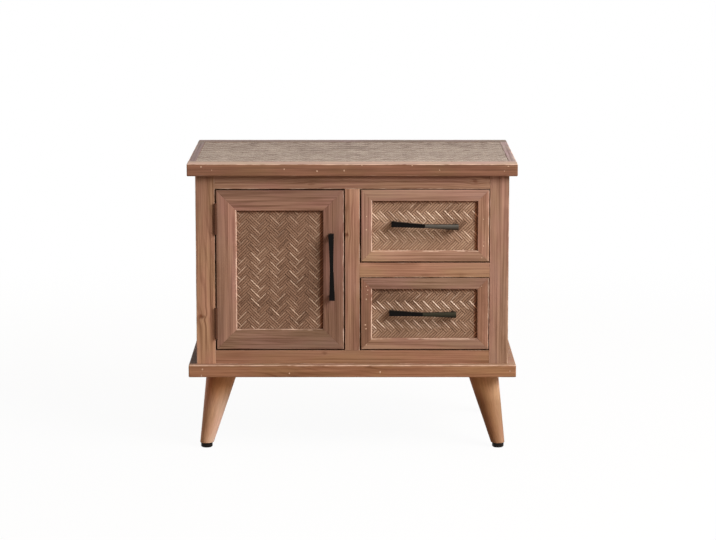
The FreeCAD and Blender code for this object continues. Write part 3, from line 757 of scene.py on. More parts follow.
class Finishes:
    """Every finish of the table, built once."""

    def __init__(self) -> None:
        """Builds the materials."""
        knots = (Knot(-12.0, 459.5, 3.8, 5.0, 0.95), Knot(-316.0, 286.5, 6.5, 5.0, 0.8),
                 Knot(254.5, 572.0, 7.5, 4.5, 0.6), Knot(-84.0, 566.0, 8.0, 3.0, 0.35),
                 Knot(-58.0, 209.0, 6.0, 3.0, 0.4))
        self.face = Fir("face_fir", contrast=0.65, streaks=1.3, gloss=0.1, knots=knots).material()
        self.front = Fir("front_fir", ring=3.9, contrast=0.6, streaks=1.3, gloss=0.1).material()
        slab = Fir("slab_fir", ring=5.2, contrast=0.7, streaks=1.2, weathering=0.12, roughness=0.68,
                   upward_sheen=(2.3, 3.4, 4.8, 1.0))
        self.slab = slab.material()
        self.lipping = replace(slab, name="lipping_fir", upward_sheen=(1.2, 1.95, 3.2, 1.0)).material()
        self.foot_slab = replace(slab, name="foot_slab_fir", contrast=0.8, weathering=0.15, roughness=0.5,
                                 gloss=0.03, upward_sheen=(1.05, 1.25, 1.5, 1.0), shadowed_ledge=True).material()
        self.leg = Fir("leg_fir", ring=5.0, contrast=0.08, streaks=0.45, weathering=0.05, roughness=0.52,
                       gloss=0.03).material()
        self.side = Fir("side_fir", Stain.SIDE.value, Axis.Z, plank=101.0, contrast=1.1).material()
        self.back = Fir("back_fir", Stain.BACK.value, Axis.Z, Axis.X, plank=106.5).material()
        self.inner = Fir("inner_fir", stain(166, 130, 103), Axis.Y, Axis.X, plank=88.0, contrast=0.7,
                         streaks=1.1, weathering=0.1).material()
        box = Fir("box_fir", stain(181, 145, 116), Axis.Y, Axis.Z, ring=5.0, contrast=0.6, streaks=0.95,
                  weathering=0.1)
        self.box = box.material()
        self.box_end = replace(box, name="box_end_fir", along=Axis.X).material()
        self.ply = Fir("plywood", stain(182, 149, 121), ring=16.0, contrast=0.35, streaks=0.75,
                       weathering=0.05).material()
        self.upper_slats = SlatFir(
            "upper_drawer_slats", stain(112, 82, 64), stain(170, 137, 114), stain(200, 169, 143),
            stain(248, 224, 204), grime=0.8, fade=(0.04, 0.062, 1.0, 0.6), shaded=0.2).material()
        self.lower_slats = SlatFir(
            "lower_drawer_slats", stain(100, 73, 57), stain(155, 123, 101), stain(184, 152, 128),
            stain(246, 222, 204), grime=0.8, shaded=0.35).material()
        self.door_slats = SlatFir(
            "door_slats", stain(94, 69, 54), stain(143, 111, 91), stain(164, 133, 111), stain(232, 206, 184),
            rub=0.75, grime=0.6, patchy=0.6, fade=(0.02, 0.15, 0.45, 1.0)).material()
        self.top_slats = SlatFir(
            "top_slats", stain(124, 108, 101), stain(178, 165, 155), stain(209, 198, 189),
            stain(238, 224, 214), rub=0.75, spread=0.7, patchy=0.3, dirt=0.0, turned=0.3, roughness=0.62,
            mottle=0.25, shaded=0.16, shade_span=(0.0, 0.36)).material()
        self.groove = Moulded("dark_groove", stain(90, 64, 49), 0.8).material()
        black = Metal("door_pull_black", stain(12, 9, 8), stain(20, 17, 15), 0.0, 0.32, gloss=0.08)
        self.door_black = black.material()
        self.upper_black = replace(black, name="upper_pull_black", level=478.0,
                                   painted_sheen=(stain(48, 39, 30), stain(104, 102, 98))).material()
        self.lower_black = replace(black, name="lower_pull_black", level=292.0,
                                   painted_sheen=(stain(30, 27, 18), stain(62, 61, 50))).material()
        self.hinge = Metal("brown_hinge_steel", stain(80, 48, 31), stain(112, 74, 49), 0.1, 0.55,
                           gloss=0.2).material()
        self.zinc = Metal("zinc_steel", stain(176, 176, 172), stain(120, 118, 112), 1.0, 0.34).material()
        self.brass = Metal("insert_brass", stain(190, 158, 92), stain(140, 110, 60), 1.0, 0.32).material()
        self.glide = Moulded("black_plastic", stain(26, 22, 20), 0.5, gloss=0.1).material()
        self.catch = Moulded("catch_plastic", stain(112, 82, 60), 0.45).material()
        self.putty = Moulded("nail_putty", stain(208, 174, 148), 0.7).material()


# ---- meshes -----------------------------------------------------------------------
@dataclass
class Corner:
    """Corner of a board's section: its place across and through the board, and its rounding."""

    across: float
    through: float
    radius: float = 0.4
    worn: float = 1.0


@dataclass
class Rim:
    """Point of a rounded section, with its outward direction and how worn it is, which on the fronts' arrises
    that face the light includes painted highlight.
    """

    across: float
    through: float
    out_across: float
    out_through: float
    worn: float


@dataclass
class Mould:
    """Mesh under construction, with the attributes that the finishes read."""

    vertices: list[Vector] = field(default_factory=list)
    faces: list[list[int]] = field(default_factory=list)
    grain: list[Vector] = field(default_factory=list)
    worn: list[float] = field(default_factory=list)
    stain: list[Colour] = field(default_factory=list)

    def loft(self, rings: list[list[tuple[Vector, Vector, float]]], colour: Colour) -> None:
        """Skins a row of closed rings and closes both ends.

        Args:
            rings: place, place in the grain and wear of each point, in millimetres.
            colour: stain of the whole form.
        """
        start = len(self.vertices)
        count = len(rings[0])
        for ring in rings:
            for place, grain, worn in ring:
                self.vertices.append(place * MM)
                self.grain.append(grain * MM)
                self.worn.append(worn)
                self.stain.append(colour)
        for row in range(len(rings) - 1):
            low = start + row * count
            for index in range(count):
                after = (index + 1) % count
                self.faces.append([low + index, low + after, low + count + after, low + count + index])
        self.faces.append([start + index for index in reversed(range(count))])
        last = start + (len(rings) - 1) * count
        self.faces.append([last + index for index in range(count)])

    def mesh(self, name: str) -> Mesh:
        """Makes the mesh, with smooth faces that point outwards.

        Args:
            name: the mesh's name.

        Returns:
            The mesh.
        """
        mesh = bpy.data.meshes.new(name)
        mesh.from_pydata([tuple(place) for place in self.vertices], [], self.faces)
        grain = [number for place in self.grain for number in place]
        colours = [number for colour in self.stain for number in colour]
        for layer, kind, key, flat in ((Layer.GRAIN, "FLOAT_VECTOR", "vector", grain),
                                       (Layer.WORN, "FLOAT", "value", self.worn),
                                       (Layer.STAIN, "FLOAT_COLOR", "color", colours)):
            mesh.attributes.new(layer.value, kind, "POINT").data.foreach_set(key, flat)
        shell = bmesh.new()
        shell.from_mesh(mesh)
        bmesh.ops.recalc_face_normals(shell, faces=shell.faces)
        shell.to_mesh(mesh)
        shell.free()
        mesh.shade_smooth()
        return mesh


@dataclass
class Notch:
    """Upright cylinder that a board is cut back for."""

    x: float
    y: float
    radius: float
    low: float
    high: float

    def clear(self, place: Vector) -> Vector:
        """Moves a point out of the cylinder.

        Args:
            place: the point.

        Returns:
            The point, on the cylinder if it was inside.
        """
        if not self.low <= place.z <= self.high:
            return place
        away = Vector((place.x - self.x, place.y - self.y, 0.0))
        if away.length >= self.radius or away.length < 0.01:
            return place
        away = away.normalized() * self.radius
        return Vector((self.x + away.x, self.y + away.y, place.z))


@dataclass
class Chip:
    """Small break in an arris: share along the board, point of the section, depth and length."""

    share: float
    point: int
    depth: float
    length: float


def eased(ease: float) -> list[Pair]:
    """Rounds the end of a form off.

    Args:
        ease: radius of the rounding.

    Returns:
        Distances from the end, and how far the surface is drawn in there.
    """
    turns = [step * math.pi / (2 * EASE_STEPS) for step in range(EASE_STEPS + 1)]
    return [(ease * (1.0 - math.cos(turn)), ease * (1.0 - math.sin(turn))) for turn in turns]


def grain_start(chance: random.Random, low: Triple, high: Triple) -> Vector:
    """Draws the place in the tree that a piece of wood is cut from."""
    return Vector([chance.uniform(*span) for span in zip(low, high)])


def faded(ends: Pair, share: float) -> float:
    """Gives the strength of a stain at a share of the way from one edge to the other."""
    return ends[0] + (ends[1] - ends[0]) * min(max(share, 0.0), 1.0)


@dataclass
class Board:
    """Straight board with worn, slightly uneven arrises; its ends may be mitred.

    near_ends and far_ends are where the board ends at the lowest and at the
    highest place across it, so they differ where an end is mitred.
    """

    along: Axis
    across: Axis
    near_ends: Pair
    far_ends: Pair
    section: list[Corner]
    tone: Stain
    seed: int
    end_ease: float = 0.5
    step: float = 6.0
    notches: tuple[Notch, ...] = ()
    arc_steps: int = 3
    shoulder: float = 0.7
    wave: float = 0.18
    chips: int = 5
    broken: float = 1.0

    def through(self) -> Axis:
        """Gives the axis of the board's thickness."""
        return next(axis for axis in Axis if axis not in (self.along, self.across))

    def rim(self) -> list[Rim]:
        """Rounds the section's corners and adds points along its sides.

        Returns:
            Points round the section.
        """
        points = [Vector((corner.across, corner.through)) for corner in self.section]
        following = points[1:] + points[:1]
        area = sum(point.x * after.y - after.x * point.y for point, after in zip(points, following))
        turn = 1.0 if area > 0 else -1.0
        rims: list[Rim] = []
        for index, (corner, point, after) in enumerate(zip(self.section, points, following)):
            come = (point - points[index - 1]).normalized()
            leave = (after - point).normalized()
            bulges = turn * (come.x * leave.y - come.y * leave.x) > 0
            centre = point + corner.radius * (leave - come)
            for step in range(self.arc_steps + 1):
                angle = step / self.arc_steps * math.pi / 2.0
                ray = come * math.sin(angle) - leave * math.cos(angle)
                place = centre + ray * corner.radius
                out = ray if bulges else -ray
                rims.append(Rim(place.x, place.y, out.x, out.y, corner.worn if bulges else 0.0))
            end_radius = self.section[(index + 1) % len(points)].radius
            self.add_side(rims, point, after, corner.radius, end_radius, Vector((leave.y, -leave.x)) * turn)
        return rims

    def add_side(self, rims: list[Rim], start: Vector, end: Vector, start_radius: float, end_radius: float,
                 out: Vector) -> None:
        """Adds points between two corners of the section.

        Args:
            rims: list that the points are added to.
            start: corner where the side starts.
            end: corner where it ends.
            start_radius: rounding at the start.
            end_radius: rounding at the end.
            out: outward direction of the side.
        """
        length = (end - start).length
        first, last = start_radius + self.shoulder, length - end_radius - self.shoulder
        if last - first < 1.0:
            return
        spans = max(1, round((last - first) / (2.5 * self.step)))
        for number in range(spans + 1):
            place = start + (end - start).normalized() * (first + (last - first) * number / spans)
            rims.append(Rim(place.x, place.y, out.x, out.y, 0.0))

    def stations(self) -> list[Triple]:
        """Lists the rings of points along the board.

        Returns:
            For each ring its share of the way along the board, how many
            millimetres it stands past that place, and how far it is drawn in.
        """
        start, end = self.near_ends
        count = round(max(abs(end - start), abs(self.far_ends[1] - self.far_ends[0])) / self.step)
        shares = {number / count for number in range(1, count)}
        for notch in self.notches:
            for level in (notch.low, notch.high):
                shares |= {(level + nudge - start) / (end - start) for nudge in (-0.2, 0.0)}
        arc = [*eased(self.end_ease), (self.end_ease + self.shoulder, 0.0)]
        rows = [(0.0, past, drawn) for past, drawn in arc]
        rows += [(share, 0.0, 0.0) for share in sorted(shares)]
        rows += [(1.0, -past, drawn) for past, drawn in reversed(arc)]
        return rows

    def add_to(self, mould: Mould) -> None:
        """Builds the board into a mesh under construction.

        Args:
            mould: the mesh that the board joins.
        """
        chance = random.Random(self.seed)
        rims = self.rim()
        low = min(rim.across for rim in rims)
        high = max(rim.across for rim in rims)
        origin = grain_start(chance, (0.0, -60.0, -10.0), (4000.0, 60.0, 60.0))
        chips = [Chip(chance.random(), chance.randrange(len(rims)), chance.uniform(0.3, 0.9),
                      chance.uniform(2.0, 5.0)) for _ in range(self.chips)]
        rings = []
        for share, past, drawn in self.stations():
            ring = []
            for index, rim in enumerate(rims):
                across, through = rim.across - rim.out_across * drawn, rim.through - rim.out_through * drawn
                part = (across - low) / (high - low)
                start = self.near_ends[0] + (self.far_ends[0] - self.near_ends[0]) * part
                end = self.near_ends[1] + (self.far_ends[1] - self.near_ends[1]) * part
                margin = self.end_ease / (end - start)
                kept = share if share in (0.0, 1.0) else min(max(share, margin), 1.0 - margin)
                length = start + (end - start) * kept + past
                own = [chip for chip in chips if abs(chip.point - index) <= CHIP_REACH]
                sunk = self.unevenness(length, rim, index, own, start, end, origin.x)
                across -= rim.out_across * sunk
                through -= rim.out_through * sunk
                rub = noise.noise(Vector((length / 30.0, index * 0.7, origin.x)))
                rub += 0.6 * noise.noise(Vector((length / 8.0, index * 0.7, origin.x)))
                grain = Vector((length, across - (low + high) / 2.0, through)) + origin
                wear = max(0.0, rim.worn * (0.7 + self.broken * rub))
                ring.append((self.placed(length, across, through), grain, wear))
            rings.append(ring)
        first = len(mould.stain)
        mould.loft(rings, self.tone.value)
        self.fade(mould, first, low, high)

    def placed(self, length: float, across: float, through: float) -> Vector:
        """Puts a point of the board into the axes of the frame and out of the notches.

        Args:
            length: place along the board.
            across: place across it.
            through: place in its thickness.

        Returns:
            The point.
        """
        place = Vector((0.0, 0.0, 0.0))
        place[self.along.value] = length
        place[self.across.value] = across
        place[self.through().value] = through
        for notch in self.notches:
            place = notch.clear(place)
        return place

    def fade(self, mould: Mould, first: int, low: float, high: float) -> None:
        """Makes the stain stronger towards one end or one edge, where the board's tone says so.

        Args:
            mould: the mesh that the board has joined.
            first: number of the board's first vertex in it.
            low: lowest place across the board.
            high: highest place across it.
        """
        start, end = self.near_ends
        for number in range(first, len(mould.stain)):
            place = mould.vertices[number] / MM
            gain = faded(ALONG.get(self.tone, EVEN), (place[self.along.value] - start) / (end - start))
            gain *= faded(ACROSS.get(self.tone, EVEN), (place[self.across.value] - low) / (high - low))
            red, green, blue, full = mould.stain[number]
            mould.stain[number] = (red * gain, green * gain, blue * gain, full)

    def unevenness(self, length: float, rim: Rim, index: int, chips: list[Chip], start: float, end: float,
                   phase: float) -> float:
        """Works out how far wear has taken the surface back.

        Args:
            length: place along the board.
            rim: point of the section.
            index: number of that point.
            chips: chips that reach it.
            start: the board's start at this point.
            end: its end at this point.
            phase: moves the pattern, so that each board has its own.

        Returns:
            Depth in millimetres, below 0 where the surface stands proud.
        """
        sunk = self.wave * noise.noise(Vector((length / 55.0, rim.across / 40.0 + phase, rim.through / 40.0)))
        if rim.worn > 0.5:
            rub = noise.noise(Vector((length / 16.0, index * 0.35, phase)))
            sunk += 0.35 * max(0.0, rub) * rim.worn
            for chip in chips:
                gap = (length - start - chip.share * (end - start)) / chip.length
                sunk += chip.depth * math.exp(-gap * gap)
        return sunk


def place_piece(name: str, mesh: Mesh, body: Body,
                nodes: Sequence[str] = ()) -> bpy.types.Object:
    """Puts a finished mesh on its body.

    Args:
        name: the piece's name.
        mesh: its mesh, in place.
        body: the body that it rides on.
        nodes: frame nodes that it stands for.

    Returns:
        The new object.
    """
    piece = bpy.data.objects.new(name, mesh)
    bpy.context.scene.collection.objects.link(piece)
    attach(piece, body.value)
    if nodes:
        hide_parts(*nodes)
    LOG.info("%s: %d faces on %s", name, len(mesh.polygons), body.value)
    return piece


def board_piece(name: str, boards: Sequence[Board], body: Body, finish: Material,
                nodes: Sequence[str]) -> bpy.types.Object:
    """Makes one piece of one or more boards.

    Args:
        name: the piece's name.
        boards: its boards.
        body: the body that it rides on.
        finish: its finish.
        nodes: frame nodes that it stands for.

    Returns:
        The new object.
    """
    mould = Mould()
    for board in boards:
        board.add_to(mould)
    mesh = mould.mesh(name)
    mesh.materials.append(finish)
    return place_piece(name, mesh, body, nodes)


def softened_copy(node: str, name: str, body: Body, finish: Material) -> bpy.types.Object:
    """Makes a copy of a pull's frame node with small rounded edges, which stands for it.

    Args:
        node: the frame node.
        name: the new piece's name.
        body: the body that it rides on.
        finish: its finish.

    Returns:
        The new object.
    """
    ease, flat, sharp, crease = 0.5 * MM, math.radians(0.5), math.radians(25.0), math.radians(8.0)
    shell = bmesh.new()
    shell.from_mesh(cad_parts[node].data)
    bmesh.ops.remove_doubles(shell, verts=shell.verts, dist=2e-6)
    bmesh.ops.dissolve_limit(shell, angle_limit=flat, verts=shell.verts, edges=shell.edges)
    edges = [edge for edge in shell.edges if len(edge.link_faces) == 2 and edge.calc_face_angle(0.0) > sharp]
    bmesh.ops.bevel(shell, geom=edges, offset=ease, segments=2, profile=0.5, affect="EDGES",
                    clamp_overlap=True)
    mesh = bpy.data.meshes.new(name)
    shell.to_mesh(mesh)
    shell.free()
    mesh.materials.clear()
    mesh.materials.append(finish)
    mesh.shade_smooth()
    mesh.set_sharp_from_angle(angle=crease)
    return place_piece(name, mesh, body, [node])


# ---- repeated shapes --------------------------------------------------------------
class Repeater(Net):
    """Geometry node tree with named inputs, run once on an object's mesh."""

    def __init__(self, name: str, lengths: Sequence[str], counts: Sequence[str] = ()) -> None:
        """Starts a tree with its inputs.

        Args:
            name: the tree's name.
            lengths: names of the inputs that are plain numbers.
            counts: names of the inputs that are whole numbers, besides the seed.
        """
        super().__init__(bpy.data.node_groups.new(name, "GeometryNodeTree"))
        self.sockets: dict[str, str] = {}
        self.declare("Geometry", ("Geometry",))
        self.declare("Float", lengths)
        self.declare("Int", (*counts, "Seed"))
        self.declare("Material", ("Material",))
        self.tree.interface.new_socket("Geometry", in_out="OUTPUT", socket_type="NodeSocketGeometry")
        self.entry = self.tree.nodes.new("NodeGroupInput")
        self.exit = self.tree.nodes.new("NodeGroupOutput")

    def declare(self, kind: str, labels: Sequence[str]) -> None:
        """Adds named inputs of one kind to the tree."""
        for label in labels:
            item = self.tree.interface.new_socket(label, in_out="INPUT", socket_type="NodeSocket" + kind)
            self.sockets[label] = item.identifier

    def input(self, label: str) -> Socket:
        """Gives the socket of a named input, for use inside the tree."""
        return self.entry.outputs[label]

    def drawn(self, salt: int, given: dict[str, object], kind: str = "FLOAT") -> Socket:
        """Draws a random value.

        Args:
            salt: number that tells this draw from the others.
            given: range and owner of the draw, by the names of the node's inputs.
            kind: Blender's name for the kind of value.

        Returns:
            The drawn value.
        """
        seed = self.plus(self.input("Seed"), float(salt))
        draw = self.node("FunctionNodeRandomValue", {**given, "Seed": seed}, data_type=kind)
        return enabled(draw.outputs, "Value")

    def chance(self, low: object, high: object, salt: int, kind: str = "FLOAT") -> Socket:
        """Draws a random value for each separate shape.

        Args:
            low: lowest value.
            high: highest value.
            salt: number that tells this draw from the others.
            kind: Blender's name for the kind of value.

        Returns:
            The drawn value.
        """
        island = self.made("GeometryNodeInputMeshIsland", {})
        return self.drawn(salt, {"Min": low, "Max": high, "ID": island}, kind)

    def stored(self, geometry: Socket, layer: Layer, value: object, kind: str = "FLOAT") -> Socket:
        """Stores an attribute.

        Args:
            geometry: what gets it.
            layer: the attribute.
            value: its value.
            kind: Blender's name for the kind of value.

        Returns:
            The geometry with the attribute.
        """
        inputs = {"Geometry": geometry, "Name": layer.value, "Value": value}
        return self.made("GeometryNodeStoreNamedAttribute", inputs, data_type=kind)

    def read(self, layer: Layer, kind: str = "FLOAT") -> Socket:
        """Reads an attribute."""
        return self.made("GeometryNodeInputNamedAttribute", {"Name": layer.value}, data_type=kind)

    def realized(self, instances: Socket) -> Socket:
        """Turns instances into geometry of their own."""
        return self.made("GeometryNodeRealizeInstances", {"Geometry": instances})

    def close(self, geometry: Socket) -> None:
        """Ends the tree: realizes what is left, gives it its material and hands it out."""
        inputs = {"Geometry": self.realized(geometry), "Material": self.input("Material")}
        self.feed(self.exit.inputs[0], self.made("GeometryNodeSetMaterial", inputs))

    def run(self, name: str, mesh: Mesh, values: dict[str, object]) -> Mesh:
        """Runs the tree on a mesh and gives the result as a plain mesh.

        Args:
            name: name of the new mesh.
            mesh: mesh that goes in.
            values: value of each named input.

        Returns:
            The resulting mesh.
        """
        holder = bpy.data.objects.new(name + ".source", mesh)
        bpy.context.scene.collection.objects.link(holder)
        modifier = holder.modifiers.new(name, "NODES")
        modifier.node_group = self.tree
        for label, value in values.items():
            modifier[self.sockets[label]] = value
        graph = bpy.context.evaluated_depsgraph_get()
        made = bpy.data.meshes.new_from_object(holder.evaluated_get(graph), preserve_all_data_layers=True,
                                               depsgraph=graph)
        made.name = name
        holder.modifiers.clear()
        bpy.data.objects.remove(holder)
        return made


class HerringboneTree(Repeater):
    """Lays strips side by side as slats, and the slats as a herringbone."""

    def __init__(self) -> None:
        """Builds the tree."""
        super().__init__("herringbone", (
            "Strip Width", "Pitch X", "Pitch Y", "Ridge Lift", "Lift Spread", "Tilt Spread", "Rising Wear",
            "Least Wear", "Most Wear", "Other Wear", "Slat Share"), ("Strips", "Columns", "Rows"))
        slat = self.slat()
        grid = self.made("GeometryNodeMeshGrid", {
            "Size X": self.span("Columns", "Pitch X"), "Size Y": self.span("Rows", "Pitch Y"),
            "Vertices X": self.input("Columns"), "Vertices Y": self.input("Rows")})
        half = self.vector(*(self.times(self.input(pitch), 0.5) for pitch in ("Pitch X", "Pitch Y")), 0.0)
        shifted = self.made("GeometryNodeTransform", {"Geometry": grid, "Translation": half})
        falling = self.laid(grid, slat, -math.pi / 4.0, 6, 1.0)
        rising = self.laid(shifted, slat, math.pi / 4.0, 7, self.input("Rising Wear"))
        both = self.node("GeometryNodeJoinGeometry", {})
        self.tree.links.new(falling, both.inputs[0])
        self.tree.links.new(rising, both.inputs[0])
        self.close(self.varied(self.realized(both.outputs[0])))

    def span(self, count: str, pitch: str) -> Socket:
        """Gives the length of a row of points."""
        return self.times(self.minus(self.input(count), 1.0), self.input(pitch))

    def last_strip(self) -> Socket:
        """Gives 1 on the last strip of each slat, which stands highest, and 0 on the others."""
        last = self.minus(self.input("Strips"), 1.0)
        return self.math("COMPARE", self.read(Layer.STRIP), last, 0.1)

    def laid(self, points: Socket, slat: Socket, turn: float, salt: int, share: object) -> Socket:
        """Lays a turned slat on each point and draws its tone.

        Args:
            points: the points.
            slat: geometry of one slat.
            turn: its direction.
            salt: number that tells this draw from the others.
            share: how far its ridges are rubbed bare.

        Returns:
            The slats, as instances.
        """
        toned = self.stored(points, Layer.SLAT, self.drawn(salt, {}))
        bared = self.stored(toned, Layer.BARED, share)
        inputs = {"Points": bared, "Instance": slat, "Rotation": (0.0, 0.0, turn)}
        return self.made("GeometryNodeInstanceOnPoints", inputs)

    def slat(self) -> Socket:
        """Lays the strips of one slat side by side and lifts the last one.

        Returns:
            The slat's geometry.
        """
        width = self.input("Strip Width")
        start = self.times(self.minus(1.0, self.input("Strips")), self.times(width, 0.5))
        row = self.made("GeometryNodeMeshLine", {
            "Count": self.input("Strips"), "Start Location": self.vector(0.0, start, 0.0),
            "Offset": self.vector(0.0, width, 0.0)}, mode="OFFSET")
        row = self.stored(row, Layer.STRIP, self.made("GeometryNodeInputIndex", {}))
        laid = self.node("GeometryNodeInstanceOnPoints", {"Points": row, "Instance": self.input("Geometry")})
        lift = self.vector(0.0, 0.0, self.times(self.last_strip(), self.input("Ridge Lift")))
        inputs = {"Geometry": self.realized(laid.outputs[0]), "Offset": lift}
        return self.made("GeometryNodeSetPosition", inputs)

    def varied(self, solid: Socket) -> Socket:
        """Gives each strip its own height, slope, wear, tone and piece of the grain.

        Args:
            solid: geometry of all strips.

        Returns:
            The varied geometry.
        """
        grain, worn = self.read(Layer.GRAIN, "FLOAT_VECTOR"), self.read(Layer.WORN)
        spread, tilt = self.input("Lift Spread"), self.input("Tilt Spread")
        lift = self.chance(self.times(spread, -1.0), spread, 1)
        slope = self.chance(self.times(tilt, -1.0), tilt, 2)
        offset = self.vector(0.0, 0.0, self.times(self.parts(grain)[0], slope, lift))
        solid = self.made("GeometryNodeSetPosition", {"Geometry": solid, "Offset": offset})

        ridge = self.chance(self.input("Least Wear"), self.input("Most Wear"), 5)
        other = self.times(self.chance(0.1, 1.0, 6), self.input("Other Wear"))
        share = self.times(self.last_strip(), self.minus(ridge, other), other)
        share = self.times(share, self.read(Layer.BARED))
        raised = self.times(self.math("MAXIMUM", worn, 0.0), share)
        rubbed = self.plus(raised, self.math("MINIMUM", worn, 0.0))
        solid = self.stored(solid, Layer.WORN, rubbed)

        own = self.chance(0.0, 1.0, 3)
        shared = self.minus(self.read(Layer.SLAT), own)
        solid = self.stored(solid, Layer.TONE, self.times(shared, self.input("Slat Share"), own))

        jump = self.chance((0.0, 0.0, 0.0), (4.0, 1.0, 1.0), 4, "FLOAT_VECTOR")
        place = self.made("ShaderNodeVectorMath", {0: grain, 1: jump}, operation="ADD")
        return self.stored(solid, Layer.GRAIN, place, "FLOAT_VECTOR")


class DotTree(Repeater):
    """Sets a small flat dome of filler over each nail."""

    def __init__(self) -> None:
        """Builds the tree."""
        super().__init__("nail_dots", ("Smallest Radius", "Largest Radius", "Height"))
        dome = self.made("GeometryNodeMeshIcoSphere", {"Radius": 1.0, "Subdivisions": 2})
        given = {"Min": self.input("Smallest Radius"), "Max": self.input("Largest Radius"),
                 "ID": self.made("GeometryNodeInputIndex", {})}
        size = self.vector(self.drawn(1, given), self.input("Height"), self.drawn(2, given))
        inputs = {"Points": self.input("Geometry"), "Instance": dome, "Scale": size}
        self.close(self.made("GeometryNodeInstanceOnPoints", inputs))


class Workshop(Finishes):
    """The finishes and the node trees that the sub-assemblies share."""

    def __init__(self) -> None:
        """Builds the finishes and the trees."""
        super().__init__()
        self.herringbone = HerringboneTree()
        self.dots = DotTree()


